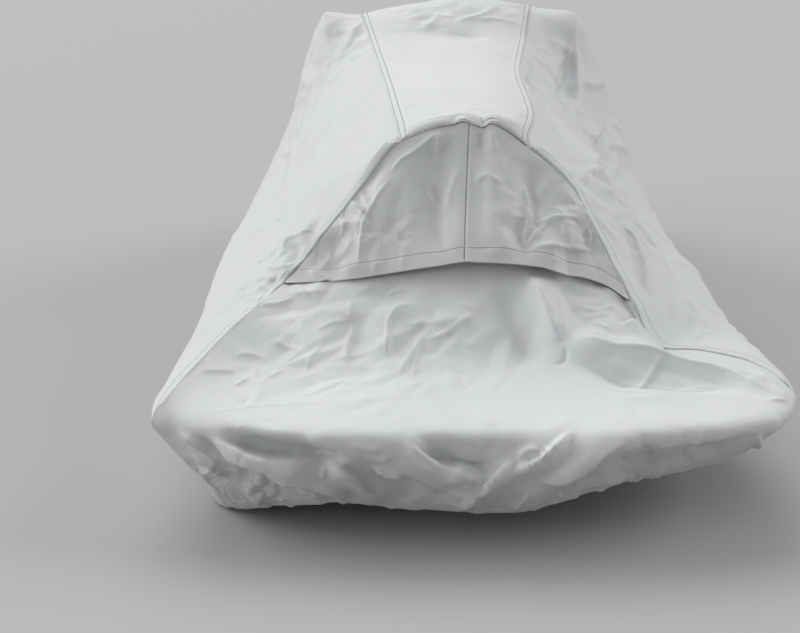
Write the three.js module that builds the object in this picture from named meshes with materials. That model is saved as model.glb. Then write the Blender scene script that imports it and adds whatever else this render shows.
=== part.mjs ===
// A fitted outdoor storage cover of coated cloth, hollow, in the shape in which it lies:
// a top panel, two side panels, a rear panel and a vent flap of two halves.
import * as THREE from "three";

// Sizes are in millimetres. In the tables x runs to the right of the centreline, y forward of
// the stern edge and z up from the stern deck.
const CLOTH_THICKNESS = 2;
const SEAM_PARTING = 0.6;
const EDGE_ROUNDING = 42;
const MOST_ROUNDING = 0.45; // share of a section's reach
const SKIRT_BELLY = 10;
const FLAP_HOLLOW = 16;
const FOLD_CALM = 55;
const FOLD_TAPER = 0.25;
const TOP_POINT = new THREE.Vector3(0, 1850, 689);

// Steps of the meshes.
const SLOPE_STEPS = 10;
const CORNER_STEPS = 3;
const SKIRT_STEPS = 4;
const TOP_STEPS = 10;
const FLAP_STEPS = 8;
const QUARTER_STEPS = 3;
const FLANK_STEPS = 3;
const BOW_STEPS = 2;
const HIDDEN_STEPS = 20;
const HOOD_ROW = 5; // flank row from which the coarser bow steps serve

const CLOTH_COLOUR = 0xc9cccd;
const CLOTH_ROUGHNESS = 0.7;

function table(names, rows) {
  return rows.map((row) => Object.fromEntries(names.map((name, i) => [name, row[i]])));
}

// A section of a side panel: its upper seam, the height of its shoulder at a share of the way
// out, its height halfway on from there, the edge where the cloth turns down, and the hem.
const SECTION = [
  "seamX", "seamY", "seamZ", "share", "shoulderZ", "hollowZ",
  "edgeX", "edgeY", "edgeZ", "hemX", "hemY", "hemZ",
];

// Stern quarters: from the stern corner along the arch leg up to the top seam.
const LEFT_QUARTER = table(SECTION, [
  [-580, 84, 16, 0.5, 5.5, 0.25, -597, 46, -5, -458, 165, -238],
  [-549, 160, 39, 0.5, 25, 16, -616, 148, 2, -505, 205, -245],
  [-476, 320, 93, 0.5, 58, 36, -616, 315, 8, -535, 335, -242],
  [-396, 490, 138, 0.5, 86, 52, -616, 480, 12, -550, 485, -236],
  [-293, 558, 252, 0.45, 165, 92, -620, 640, 16, -556, 642, -230],
  [-213, 592, 346, 0.4, 245, 130, -630, 790, 18, -564, 790, -224],
  [-144, 612, 425, 0.36, 318, 162, -641, 920, 20, -572, 920, -218],
]);
const RIGHT_QUARTER = table(SECTION, [
  [609, 234, 13, 0.5, 3, -2, 632, 182, -7, 590, 225, -82],
  [588, 274, 21, 0.5, 16, 10, 640, 290, 2, 600, 305, -96],
  [545, 312, 30, 0.5, 24, 18, 634, 380, 8, 598, 392, -110],
  [478, 355, 32, 0.5, 28, 22, 626, 470, 12, 590, 478, -124],
  [402, 385, 26, 0.5, 28, 24, 622, 560, 14, 584, 566, -136],
  [350, 455, 108, 0.45, 76, 42, 620, 665, 16, 582, 668, -146],
  [300, 520, 205, 0.42, 142, 70, 622, 770, 18, 582, 772, -154],
  [231, 580, 332, 0.38, 238, 112, 628, 860, 20, 584, 862, -160],
  [134, 612, 416, 0.36, 312, 142, 632, 950, 20, 586, 950, -165],
]);

// Flanks: from the arch forward along the top seam to the bow.
const LEFT_FLANK = table(SECTION, [
  [-165, 860, 462, 0.35, 345, 175, -653, 1090, 20, -582, 1090, -212],
  [-197, 1250, 500, 0.33, 385, 190, -664, 1340, 22, -590, 1340, -206],
  [-242, 1600, 571, 0.3, 480, 235, -666, 1620, 26, -594, 1620, -200],
  [-283, 1850, 650, 0.288, 646, 305, -662, 1850, 30, -592, 1850, -196],
  [-288, 2020, 632, 0.3, 575, 280, -654, 2020, 34, -586, 2020, -192],
  [-272, 2300, 520, 0.3, 455, 235, -622, 2320, 40, -552, 2310, -186],
  [-222, 2620, 355, 0.32, 300, 165, -534, 2640, 46, -466, 2620, -180],
  [-168, 2890, 215, 0.35, 175, 108, -398, 2905, 50, -334, 2875, -174],
  [-112, 3090, 110, 0.4, 92, 70, -225, 3105, 50, -184, 3065, -168],
  [-78, 3180, 62, 0.5, 53, 48.5, -66, 3210, 44, -58, 3150, -164],
]);
const RIGHT_FLANK = table(SECTION, [
  [172, 860, 462, 0.34, 322, 148, 636, 1120, 20, 588, 1120, -172],
  [176, 1280, 508, 0.33, 340, 170, 638, 1360, 22, 588, 1360, -178],
  [212, 1600, 575, 0.32, 445, 240, 648, 1620, 26, 590, 1620, -183],
  [248, 1850, 672, 0.33, 644, 368, 656, 1850, 30, 592, 1850, -187],
  [262, 2020, 640, 0.32, 575, 300, 652, 2020, 34, 586, 2020, -188],
  [258, 2300, 522, 0.3, 455, 235, 622, 2320, 40, 552, 2310, -186],
  [218, 2620, 355, 0.32, 300, 165, 534, 2640, 46, 466, 2620, -180],
  [168, 2890, 215, 0.35, 175, 108, 398, 2905, 50, 334, 2875, -174],
  [112, 3090, 110, 0.4, 92, 70, 225, 3105, 50, 184, 3065, -168],
  [78, 3180, 62, 0.5, 53, 48.5, 66, 3210, 44, 58, 3150, -164],
]);

// Swell of the top panel between its seams, upward, forward and to the right: a row for the arch,
// then one for each flank section.
const TOP_SWELL = table(["up", "forward", "across"], [
  [46, 10, 14],
  [15, 0, 0],
  [10, 0, 0],
  [14, 0, 0],
  [30, 0, 0],
  [32, 0, 0],
  [30, 0, 0],
  [28, 0, 0],
  [24, 0, 0],
  [16, 4, 0],
  [6, 16, 0],
]);
const BOW_FORWARD = 30;

// Stern sections from the left corner to the right one: the foot of the slope, edge and hem.
const STERN = table(SECTION.slice(3), [
  [0.5, 5.5, 0.25, -597, 46, -5, -458, 165, -238],
  [0.5, 22, 8, -556, 28, -4, -400, 125, -215],
  [0.5, 32, 10, -480, 6, -4, -330, 95, -192],
  [0.54, 24, 7, -360, -18, -4, -251, 82, -180],
  [0.56, 16, 4, -180, -26, -4, -120, 74, -190],
  [0.56, 14, 3, 0, -22, -4, 32, 62, -196],
  [0.56, 15, 3, 180, -18, -4, 150, 60, -176],
  [0.54, 18, 4, 340, 2, -4, 276, 84, -142],
  [0.5, 20, 5, 470, 30, -5, 410, 104, -122],
  [0.5, 16, 4, 562, 68, -6, 505, 135, -110],
  [0.5, 8, 0, 610, 122, -8, 556, 178, -95],
  [0.5, 3, -2, 632, 182, -7, 590, 225, -82],
]);
// Share of the stern run at which the rear panel leaves each arch leg, and its unseen upper edge.
const STERN_LEFT_SHARE = 0.24;
const STERN_RIGHT_SHARE = 0.645;
const HIDDEN_EDGE = table(["x", "y", "z"], [
  [-374, 514, 138],
  [-300, 552, 190],
  [-150, 576, 245],
  [0, 585, 275],
  [150, 576, 245],
  [255, 545, 188],
  [330, 484, 114],
]);

// Flap hem from each arch leg to the centre seam.
const FLAP_LEFT_ROW = 3;
const FLAP_RIGHT_ROW = 5;
const FLAP_LEFT_HEM = table(["x", "y", "z"], [
  [-389, 491, 138],
  [-262, 468, 151],
  [-143, 458, 172],
  [-5, 452, 195],
]);
const FLAP_RIGHT_HEM = table(["x", "y", "z"], [
  [343, 457, 111],
  [290, 470, 142],
  [195, 462, 170],
  [113, 455, 188],
  [-5, 452, 195],
]);

// Peaks that lift every panel around a point.
const PEAKS = table(["x", "y", "height", "radius"], [
  [-390, 1850, 16, 130],
  [390, 1850, 14, 130],
  [60, 1850, 8, 220],
]);

// Folds along a line of three points; a negative height is a trough. The chart names the two
// axes: plan is x and y above the edge, flank y and z above it, stern x and z on what hangs.
const FOLDS = table(["panel", "chart", "a0", "b0", "a1", "b1", "a2", "b2", "width", "height"], [
  ["rear_panel", "plan", 120, 480, 185, 345, 300, 292, 62, 15],
  ["rear_panel", "plan", 185, 345, 300, 292, 410, 300, 55, 10],
  ["rear_panel", "plan", 60, 460, 105, 365, 160, 280, 60, -13],
  ["rear_panel", "plan", 235, 235, 390, 218, 560, 185, 52, -13],
  ["rear_panel", "plan", -170, 420, -160, 330, -150, 240, 55, 8],
  ["rear_panel", "plan", -245, 420, -235, 310, -225, 210, 55, -8],
  ["rear_panel", "plan", -420, 400, -340, 330, -320, 220, 60, 8],
  ["rear_panel", "stern", -490, -22, -340, -46, -235, -66, 42, -16],
  ["rear_panel", "stern", -540, -62, -410, -84, -290, -104, 48, 13],
  ["rear_panel", "stern", -500, -118, -420, -134, -320, -150, 48, -12],
  ["rear_panel", "stern", -275, -60, -215, -110, -165, -175, 45, 14],
  ["rear_panel", "stern", -225, -60, -160, -110, -100, -165, 45, -12],
  ["rear_panel", "stern", -120, -30, 0, -42, 110, -40, 45, -9],
  ["rear_panel", "stern", -60, -195, 50, -95, 170, -15, 42, 12],
  ["rear_panel", "stern", 45, -185, 145, -118, 225, -45, 45, 12],
  ["rear_panel", "stern", 110, -170, 205, -90, 260, -50, 45, -10],
  ["vent_flap_left", "stern", -55, 450, -68, 330, -55, 190, 62, -15],
  ["vent_flap_left", "stern", -170, 390, -212, 290, -222, 150, 58, 13],
  ["vent_flap_left", "stern", -330, 240, -290, 200, -260, 150, 50, -8],
  ["vent_flap_right", "stern", 40, 420, 66, 310, 62, 190, 55, 9],
  ["vent_flap_right", "stern", 135, 400, 150, 300, 118, 185, 48, -10],
  ["vent_flap_right", "stern", 130, 175, 200, 240, 262, 300, 45, 11],
  ["vent_flap_right", "stern", 190, 165, 240, 205, 300, 235, 40, -8],
  ["side_panel_left", "flank", 1800, 610, 1600, 455, 1350, 350, 60, -10],
  ["side_panel_left", "flank", 1350, 450, 1100, 330, 900, 200, 70, 9],
  ["side_panel_left", "flank", 1700, 250, 1350, 190, 1050, 130, 60, -9],
  ["side_panel_right", "flank", 1810, 625, 1660, 500, 1480, 380, 60, -14],
  ["side_panel_right", "flank", 1600, 530, 1400, 470, 1150, 410, 50, -10],
  ["side_panel_right", "flank", 1250, 400, 950, 330, 720, 290, 60, 10],
  ["side_panel_right", "flank", 1000, 130, 800, 110, 600, 70, 50, -8],
  ["top_panel", "plan", -120, 760, 0, 735, 130, 790, 60, -6],
  ["top_panel", "plan", -150, 1790, -60, 1700, 60, 1640, 70, 7],
]);

// Monotone cubic through values at knots.
function monotone(knots, values) {
  const last = knots.length - 1;
  const steps = knots.slice(1).map((knot, i) => knot - knots[i]);
  const rises = steps.map((step, i) => (values[i + 1] - values[i]) / step);
  const slopes = values.map((_, i) => {
    if (i === 0) return rises[0];
    if (i === last) return rises[last - 1];
    if (rises[i - 1] * rises[i] <= 0) return 0;
    const before = 2 * steps[i] + steps[i - 1];
    const after = steps[i] + 2 * steps[i - 1];
    return (before + after) / (before / rises[i - 1] + after / rises[i]);
  });
  return (place) => {
    const i = Math.max(0, Math.min(last - 1, knots.findIndex((knot) => knot > place) - 1));
    const inside = place >= knots[last] ? last - 1 : i;
    const t = (place - knots[inside]) / steps[inside];
    const bend = t * t * (3 - 2 * t);
    const start = t * (1 - t) * (1 - t);
    const end = t * t * (t - 1);
    const drawn = values[inside] + bend * (values[inside + 1] - values[inside]);
    return drawn + steps[inside] * (start * slopes[inside] + end * slopes[inside + 1]);
  };
}

// A run of table rows as a function of the row number, smooth over the distance between edges.
function run(rows, placeX, placeY) {
  const along = [0];
  rows.slice(1).forEach((row, i) => {
    along.push(along[i] + Math.hypot(row[placeX] - rows[i][placeX], row[placeY] - rows[i][placeY]));
  });
  const curves = Object.keys(rows[0]).map((name) => [
    name,
    monotone(along, rows.map((row) => row[name])),
  ]);
  return (number) => {
    const whole = Math.min(Math.floor(number), rows.length - 2);
    const place = along[whole] + (number - whole) * (along[whole + 1] - along[whole]);
    return Object.fromEntries(curves.map(([name, curve]) => [name, curve(place)]));
  };
}

function count(steps) {
  return Array.from({ length: steps + 1 }, (_, i) => i);
}

// Points of one section from its seam over the rounded edge to the hem; `skirt` grows from 0
// to 1 as the cloth turns down.
function column(section) {
  const seam = new THREE.Vector3(section.seamX, section.seamY, section.seamZ);
  const edge = new THREE.Vector3(section.edgeX, section.edgeY, section.edgeZ);
  const hem = new THREE.Vector3(section.hemX, section.hemY, section.hemZ);
  const halfway = (1 + section.share) / 2;
  const heights = [seam.z, section.shoulderZ, section.hollowZ, edge.z];
  const height = monotone([0, section.share, halfway, 1], heights);
  const reach = Math.hypot(edge.x - seam.x, edge.y - seam.y);
  const rounding = Math.min(EDGE_ROUNDING, MOST_ROUNDING * reach);
  const outward = edge.clone().sub(hem).setZ(0).normalize();
  const before = 1 - rounding / reach;
  const after = rounding / edge.distanceTo(hem);
  const slopeAt = (q) => {
    const point = seam.clone().lerp(edge, q);
    return point.setZ(height(q));
  };
  const skirtAt = (t) => {
    const belly = SKIRT_BELLY * Math.sin(Math.PI * t);
    return edge.clone().lerp(hem, t).addScaledVector(outward, belly);
  };
  const corner = new THREE.QuadraticBezierCurve3(slopeAt(before), edge, skirtAt(after));
  const points = count(SLOPE_STEPS).map((i) => ({ at: slopeAt((before * i) / SLOPE_STEPS), skirt: 0 }));
  count(CORNER_STEPS).slice(1).forEach((i) => {
    points.push({ at: corner.getPoint(i / CORNER_STEPS), skirt: i / CORNER_STEPS });
  });
  count(SKIRT_STEPS).slice(1).forEach((i) => {
    points.push({ at: skirtAt(after + ((1 - after) * i) / SKIRT_STEPS), skirt: 1 });
  });
  return points;
}

// Row numbers at which a side is sampled: its quarter, then its flank up to the bow.
function sampleNumbers(quarterRows, flankRows) {
  const numbers = [];
  const hood = quarterRows + HOOD_ROW;
  const bow = quarterRows + flankRows - 1;
  for (let row = 0; row < bow; row += 1) {
    const steps = row < quarterRows - 1 ? QUARTER_STEPS : row < hood ? FLANK_STEPS : BOW_STEPS;
    count(steps).slice(0, steps).forEach((i) => numbers.push(row + i / steps));
  }
  return [...numbers, bow];
}

const leftRun = run([...LEFT_QUARTER, ...LEFT_FLANK], "edgeX", "edgeY");
const rightRun = run([...RIGHT_QUARTER, ...RIGHT_FLANK], "edgeX", "edgeY");
const leftNumbers = sampleNumbers(LEFT_QUARTER.length, LEFT_FLANK.length);
const rightNumbers = sampleNumbers(RIGHT_QUARTER.length, RIGHT_FLANK.length);
const leftGrid = leftNumbers.map((number) => column(leftRun(number)));
const rightGrid = rightNumbers.map((number) => column(rightRun(number)));
const leftJunction = (LEFT_QUARTER.length - 1) * QUARTER_STEPS;
const rightJunction = (RIGHT_QUARTER.length - 1) * QUARTER_STEPS;

// The top panel spans from seam to seam, and at the bow from one side panel's end to the other's.
const swellRun = run(
  TOP_SWELL.map((row, i) => ({ ...row, number: i, zero: 0 })),
  "number",
  "zero",
);
function topRow(left, right, { up, forward, across }, skirt) {
  return count(TOP_STEPS).map((i) => {
    const share = i / TOP_STEPS;
    const swell = 4 * share * (1 - share);
    const at = left.clone().lerp(right, share);
    at.x += across * swell;
    at.y += forward * swell;
    at.z += up * swell;
    return { at, skirt };
  });
}
const topGrid = leftGrid.slice(leftJunction).map((section, i) => {
  const swell = swellRun(leftNumbers[leftJunction + i] - LEFT_QUARTER.length + 1);
  return topRow(section[0].at, rightGrid[rightJunction + i][0].at, swell, 0);
});
const leftEnd = leftGrid[leftGrid.length - 1];
const rightEnd = rightGrid[rightGrid.length - 1];
leftEnd.slice(1).forEach((point, i) => {
  const turn = Math.min(1, (i + 1) / SLOPE_STEPS);
  const lastSwell = TOP_SWELL[TOP_SWELL.length - 1];
  const forward = THREE.MathUtils.lerp(lastSwell.forward, BOW_FORWARD, turn);
  const swell = { up: lastSwell.up * (1 - turn), forward, across: 0 };
  topGrid.push(topRow(point.at, rightEnd[i + 1].at, swell, point.skirt));
});

// The rear panel follows each arch leg up to the flap's hem, then runs on unseen behind the flap.
const leftLeave = FLAP_LEFT_ROW * QUARTER_STEPS;
const rightLeave = FLAP_RIGHT_ROW * QUARTER_STEPS;
const sternRun = run(STERN, "edgeX", "edgeY");
const hiddenRun = run(HIDDEN_EDGE, "x", "y");
function rearSection(inner, share) {
  const section = sternRun(share * (STERN.length - 1));
  return column({ ...section, seamX: inner.x, seamY: inner.y, seamZ: inner.z });
}
const rearGrid = [
  ...leftGrid.slice(0, leftLeave + 1).map((section, i) => {
    return rearSection(section[0].at, (STERN_LEFT_SHARE * i) / (leftLeave + 1));
  }),
  ...count(HIDDEN_STEPS).map((i) => {
    const share = i / HIDDEN_STEPS;
    const inner = hiddenRun(share * (HIDDEN_EDGE.length - 1));
    return rearSection(inner, THREE.MathUtils.lerp(STERN_LEFT_SHARE, STERN_RIGHT_SHARE, share));
  }),
  ...rightGrid.slice(0, rightLeave + 1).reverse().map((section, i) => {
    const share = (i + 1) / (rightLeave + 1);
    return rearSection(section[0].at, THREE.MathUtils.lerp(STERN_RIGHT_SHARE, 1, share));
  }),
];

// A flap half hangs from the arch: the leg above the flap's hem, then half the top panel's edge.
function flapGrid(arch, hemRows) {
  const hemRun = run(hemRows, "x", "y");
  const first = arch[0].x;
  const reach = arch[arch.length - 1].x - first;
  return arch.map((top) => {
    const share = (top.x - first) / reach;
    const hemPlace = hemRun(share * (hemRows.length - 1));
    const hem = new THREE.Vector3(hemPlace.x, hemPlace.y, hemPlace.z);
    return count(FLAP_STEPS).map((i) => {
      const at = top.clone().lerp(hem, i / FLAP_STEPS);
      at.y += FLAP_HOLLOW * share * Math.sin((Math.PI * i) / FLAP_STEPS);
      return { at, skirt: 1 };
    });
  });
}
const halfTop = TOP_STEPS / 2;
const archEdge = topGrid[0].map((point) => point.at);
const flapLeftGrid = flapGrid(
  [
    ...leftGrid.slice(leftLeave + 1, leftJunction).map((section) => section[0].at),
    ...archEdge.slice(0, halfTop + 1),
  ],
  FLAP_LEFT_HEM,
);
const flapRightGrid = flapGrid(
  [
    ...rightGrid.slice(rightLeave + 1, rightJunction).map((section) => section[0].at),
    ...archEdge.slice(halfTop).reverse(),
  ],
  FLAP_RIGHT_HEM,
);

// Each panel with the sides of its grid that are sewn to a neighbour.
const PANELS = [
  { name: "top_panel", grid: topGrid, sewn: ["firstRow", "firstPoint", "lastPoint"] },
  { name: "side_panel_left", grid: leftGrid, sewn: ["firstRow", "lastRow", "firstPoint"] },
  { name: "side_panel_right", grid: rightGrid, sewn: ["firstRow", "lastRow", "firstPoint"] },
  { name: "rear_panel", grid: rearGrid, sewn: ["firstRow", "lastRow", "firstPoint"] },
  { name: "vent_flap_left", grid: flapLeftGrid, sewn: ["firstRow", "lastRow", "firstPoint"] },
  { name: "vent_flap_right", grid: flapRightGrid, sewn: ["firstRow", "lastRow", "firstPoint"] },
];

function peakLift(point) {
  return PEAKS.reduce((sum, peak) => {
    const away = Math.hypot(point.x - peak.x, point.y - peak.y) / peak.radius;
    return sum + (away < 1 ? peak.height * (1 - away) * (1 - away) : 0);
  }, 0);
}

// Distance of a chart place from a fold's line, and how far along the line it is, from 0 to 1.
function foldPlace(fold, a, b) {
  const ends = [[fold.a0, fold.b0], [fold.a1, fold.b1], [fold.a2, fold.b2]];
  let nearest = { away: Infinity, share: 0 };
  [0, 1].forEach((leg) => {
    const [from, to] = [ends[leg], ends[leg + 1]];
    const [da, db] = [to[0] - from[0], to[1] - from[1]];
    const along = (a - from[0]) * da + (b - from[1]) * db;
    const t = THREE.MathUtils.clamp(along / (da * da + db * db), 0, 1);
    const away = Math.hypot(a - from[0] - t * da, b - from[1] - t * db);
    if (away < nearest.away) nearest = { away, share: (leg + t) / 2 };
  });
  return nearest;
}
function foldLift(name, point, skirt) {
  return FOLDS.filter((fold) => fold.panel === name).reduce((sum, fold) => {
    const { x, y, z } = point;
    const charts = { plan: [x, y, 1 - skirt], flank: [y, z, 1 - skirt], stern: [x, z, skirt] };
    const [a, b, weight] = charts[fold.chart];
    const { away, share } = foldPlace(fold, a, b);
    const across = Math.max(0, 1 - (away / fold.width) ** 2);
    const taper = THREE.MathUtils.smoothstep(Math.min(share, 1 - share), 0, FOLD_TAPER);
    return sum + weight * fold.height * across * across * taper;
  }, 0);
}

// Unit normals of a grid of points, each from the cells around it, pointing out of the cover.
function gridNormals(grid, facing) {
  const cells = grid.slice(1).map((row, i) => row.slice(1).map((far, j) => {
    const across = far.clone().sub(grid[i][j]);
    return across.cross(grid[i][j + 1].clone().sub(row[j])).multiplyScalar(facing);
  }));
  return grid.map((row, i) => row.map((_, j) => {
    const around = [cells[i - 1]?.[j - 1], cells[i - 1]?.[j], cells[i]?.[j - 1], cells[i]?.[j]];
    const sum = new THREE.Vector3();
    around.filter((cell) => cell).forEach((cell) => sum.add(cell));
    return sum.normalize();
  }));
}

// The way from a sewn point into its panel, down the rows and across the points.
function inwardStep(panel, i, j) {
  const [rows, points] = [panel.grid.length - 1, panel.grid[0].length - 1];
  const down = { 0: "firstRow", [rows]: "lastRow" }[i];
  const over = { 0: "firstPoint", [points]: "lastPoint" }[j];
  return {
    di: panel.sewn.includes(down) ? (i === 0 ? 1 : -1) : 0,
    dj: panel.sewn.includes(over) ? (j === 0 ? 1 : -1) : 0,
  };
}
function calm(panel, i, j) {
  const { grid } = panel;
  const [rows, points] = [grid.length - 1, grid[0].length - 1];
  const ends = { firstRow: [0, j], lastRow: [rows, j], firstPoint: [i, 0], lastPoint: [i, points] };
  const away = panel.sewn.map((side) => {
    const [row, point] = ends[side];
    return grid[i][j].at.distanceTo(grid[row][point].at);
  });
  return THREE.MathUtils.smoothstep(Math.min(...away), 0, FOLD_CALM);
}

function place(point) {
  return point.toArray().map((value) => value.toFixed(2)).join(" ");
}

// Shape every panel, then share the normals of the points at which panels meet.
const meeting = new Map();
PANELS.forEach((panel) => {
  const plain = panel.grid.map((row) => row.map((point) => point.at));
  const middle = plain[Math.floor(plain.length / 2)][Math.floor(plain[0].length / 2)];
  const upright = gridNormals(plain, 1)[Math.floor(plain.length / 2)][Math.floor(plain[0].length / 2)];
  const outside = middle.clone().sub(new THREE.Vector3(0, middle.y + FLAP_HOLLOW, 0));
  panel.facing = upright.dot(outside) < 0 ? -1 : 1;
  const normals = gridNormals(plain, panel.facing);
  panel.points = plain.map((row, i) => row.map((point, j) => {
    const lift = foldLift(panel.name, point, panel.grid[i][j].skirt) * calm(panel, i, j);
    const lifted = point.clone().addScaledVector(normals[i][j], lift);
    lifted.z += peakLift(point);
    return lifted;
  }));
  panel.normals = gridNormals(panel.points, panel.facing);
  panel.points.forEach((row, i) => row.forEach((point, j) => {
    const key = place(point);
    const sum = meeting.get(key) ?? new THREE.Vector3();
    meeting.set(key, sum.add(panel.normals[i][j]));
  }));
});

// A closed sheet of even thickness under a panel's points.
function sheet(panel) {
  const { points } = panel;
  const [rows, across] = [points.length, points[0].length];
  const positions = [];
  const outer = (i, j) => i * across + j;
  const inner = (i, j) => rows * across + i * across + j;
  const pulled = points.map((row, i) => row.map((point, j) => {
    const { di, dj } = inwardStep(panel, i, j);
    if (di === 0 && dj === 0) return point.clone();
    const inward = points[i + di][j + dj].clone().sub(point);
    const rowBefore = di === 0 ? Math.max(0, i - 1) : i + di;
    const before = dj === 0 ? row[Math.max(0, j - 1)] : points[rowBefore][j];
    const after = dj === 0 ? row[Math.min(across - 1, j + 1)] : points[Math.min(rows - 1, i + 1)][j];
    const along = (di * dj === 0 ? after : row[j + dj]).clone().sub(before).normalize();
    inward.addScaledVector(along, -inward.dot(along)).normalize();
    return point.clone().addScaledVector(inward, (SEAM_PARTING / 2) * Math.hypot(di, dj));
  }));
  const under = pulled.map((row, i) => row.map((point, j) => {
    const normal = meeting.get(place(points[i][j])).clone().normalize();
    return point.clone().addScaledVector(normal, -CLOTH_THICKNESS);
  }));
  [...pulled.flat(), ...under.flat()].forEach((point) => {
    positions.push(...point.sub(TOP_POINT).toArray());
  });

  const faces = [];
  const quad = (a, b, c, d) => {
    faces.push(...(panel.facing > 0 ? [a, b, c, a, c, d] : [a, c, b, a, d, c]));
  };
  for (let i = 0; i < rows - 1; i += 1) {
    for (let j = 0; j < across - 1; j += 1) {
      quad(outer(i, j), outer(i + 1, j), outer(i + 1, j + 1), outer(i, j + 1));
      quad(inner(i, j), inner(i, j + 1), inner(i + 1, j + 1), inner(i + 1, j));
    }
  }
  for (let i = 0; i < rows - 1; i += 1) {
    quad(outer(i + 1, 0), outer(i, 0), inner(i, 0), inner(i + 1, 0));
    const j = across - 1;
    quad(outer(i, j), outer(i + 1, j), inner(i + 1, j), inner(i, j));
  }
  for (let j = 0; j < across - 1; j += 1) {
    quad(outer(0, j), outer(0, j + 1), inner(0, j + 1), inner(0, j));
    const i = rows - 1;
    quad(outer(i, j + 1), outer(i, j), inner(i, j), inner(i, j + 1));
  }
  const geometry = new THREE.BufferGeometry();
  geometry.setAttribute("position", new THREE.Float32BufferAttribute(positions, 3));
  geometry.setIndex(faces);
  geometry.computeVertexNormals();
  return geometry;
}

const cover = new THREE.Group();
PANELS.forEach((panel) => {
  const cloth = new THREE.MeshStandardMaterial({ color: CLOTH_COLOUR, roughness: CLOTH_ROUGHNESS });
  const mesh = new THREE.Mesh(sheet(panel), cloth);
  mesh.name = panel.name;
  cover.add(mesh);
});

export default cover;
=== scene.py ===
# A fitted outdoor storage cover of light grey coated cloth: six sewn panels with their folds,
# creases, felled seams, hems and stitching.
import math

import bpy
import numpy as np
from mathutils import Matrix, Vector


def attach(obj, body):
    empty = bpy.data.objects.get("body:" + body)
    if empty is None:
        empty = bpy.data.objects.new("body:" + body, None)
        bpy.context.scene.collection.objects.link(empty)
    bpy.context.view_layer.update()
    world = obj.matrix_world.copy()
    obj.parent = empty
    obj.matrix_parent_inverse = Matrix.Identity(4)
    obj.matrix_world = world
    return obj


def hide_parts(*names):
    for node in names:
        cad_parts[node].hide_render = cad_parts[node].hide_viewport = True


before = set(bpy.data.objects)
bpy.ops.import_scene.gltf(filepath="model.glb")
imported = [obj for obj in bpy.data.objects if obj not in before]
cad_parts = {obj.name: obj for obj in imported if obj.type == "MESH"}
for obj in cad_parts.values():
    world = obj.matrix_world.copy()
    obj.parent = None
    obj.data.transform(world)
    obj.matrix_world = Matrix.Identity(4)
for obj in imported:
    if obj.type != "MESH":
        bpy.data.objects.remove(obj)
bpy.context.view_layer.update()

# Sizes are in millimetres. In the tables x runs to the right of the centreline, y forward of
# the stern edge and z up from the stern deck.
MILLIMETRE = 0.001
TOP_POINT = np.array([0.0, 1850.0, 689.0])
CLOTH_THICKNESS = 2.0

# The turned-down edge: its rounding, which grows towards the middle of the stern and falls again over
# shares of the stern run, the belly of what hangs, the hollow of the flap, and the share of the turn
# from which the charts of what hangs hold in full.
EDGE_ROUNDING = 42.0
STERN_ROUNDING = 54.0
STERN_CORNER = 0.12
STERN_HARD = (0.52, 0.66)
MOST_ROUNDING = 0.45
SKIRT_BELLY = 10.0
FLAP_HOLLOW = 16.0
EDGE_SHARE = 0.5

# Folds and creases: how far from the sewn sides they are calmed, the share of their length over
# which they taper, and the form of their crests. A narrow crease is softer, with a longer reach.
FOLD_CALM = 55.0
FOLD_TAPER = 0.25
CREASE_CALM = 3.0
LEAST_CALM = 9.0
CREASE_TAPER = 0.3
CREST_ROUNDING = 0.06
CREST_HOLLOW = 1.9
WIDE_HOLLOW = 1.25
WIDE_CREASE = 27
CREASE_REACH = 2.0
CREASE_SOFTNESS = 0.6
PINCH_SHARE = 0.8
PINCH_MOST = 4.0
PINCH_REACH = 9.0
SKIRT_PINCH = 2.2
LINE_STEPS = 14

# Gathers and crumples: the ranges of their draws, as factors of the sizes in their tables. A lean and a
# bow are shares of the length, and a bend is one of the lean. The knee is the share of the length at
# which a gather bends. A crumple lies only on cloth that faces its way.
GATHER_SPREAD = {
    "spacing": (0.45, 1.6), "length": (0.4, 1.5), "lean": (-0.7, 0.7), "bend": (0.2, 0.7),
    "width": (0.6, 1.6), "height": (0.35, 1.3),
}
GATHER_KNEE = 0.2
CRUMPLE_SPREAD = {"length": (0.4, 1.6), "width": (0.5, 1.8), "bow": (-0.15, 0.15), "height": (0.4, 1.8)}
CRUMPLE_SIGNS = (-1, 1, 1)
CRUMPLE_EDGE = 1.2
CRUMPLE_FADE = (0.4, 1.4)
CRUMPLE_LEAST = 0.08
SAME_FACE = 0.4

# Facets: the sides of each, their stretch, the bow of their edges, the shares of the radius between
# which a patch fades, and the distances from the hem between which it sets in.
FACET_SIDES = 6
FACET_STRETCH = 0.5
FACET_BOW = 5.0
FACET_BOW_LENGTH = 19.0
FACET_FADE = (0.5, 1.3)
FACET_HEM = (5.0, 45.0)

# Settling of the cloth: its steps, the pull to the drawn shape, the straightening at the first and the
# last step, the share of a push that pressed cloth passes on, how much less the skirts are
# straightened, the easings of the lengths, the evenness and the evenings of the lines, the distances
# from a sewn side between which the cloth comes free, and the slack of crumpled cloth.
SETTLE_STEPS = 300
SETTLE_PULL = 0.003
SETTLE_BENDS = (0.05, 0.011)
SETTLE_PUSH = 0.15
SKIRT_CRISPNESS = 0.8
SETTLE_SPREAD = 16
SETTLE_EVENNESS = 0.75
SETTLE_EVENINGS = 1
SETTLE_FIXED = 2.0
SETTLE_FREE = 26.0
SLACK = 0.011

# Least values that are divided by.
TINY = 1e-6
LEAST_LENGTH = 1e-12

# Reach of the wear beside the edges of bands, and of the soil above the hems.
WEAR_REACH = 4.0
SOIL_REACH = 150.0

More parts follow.
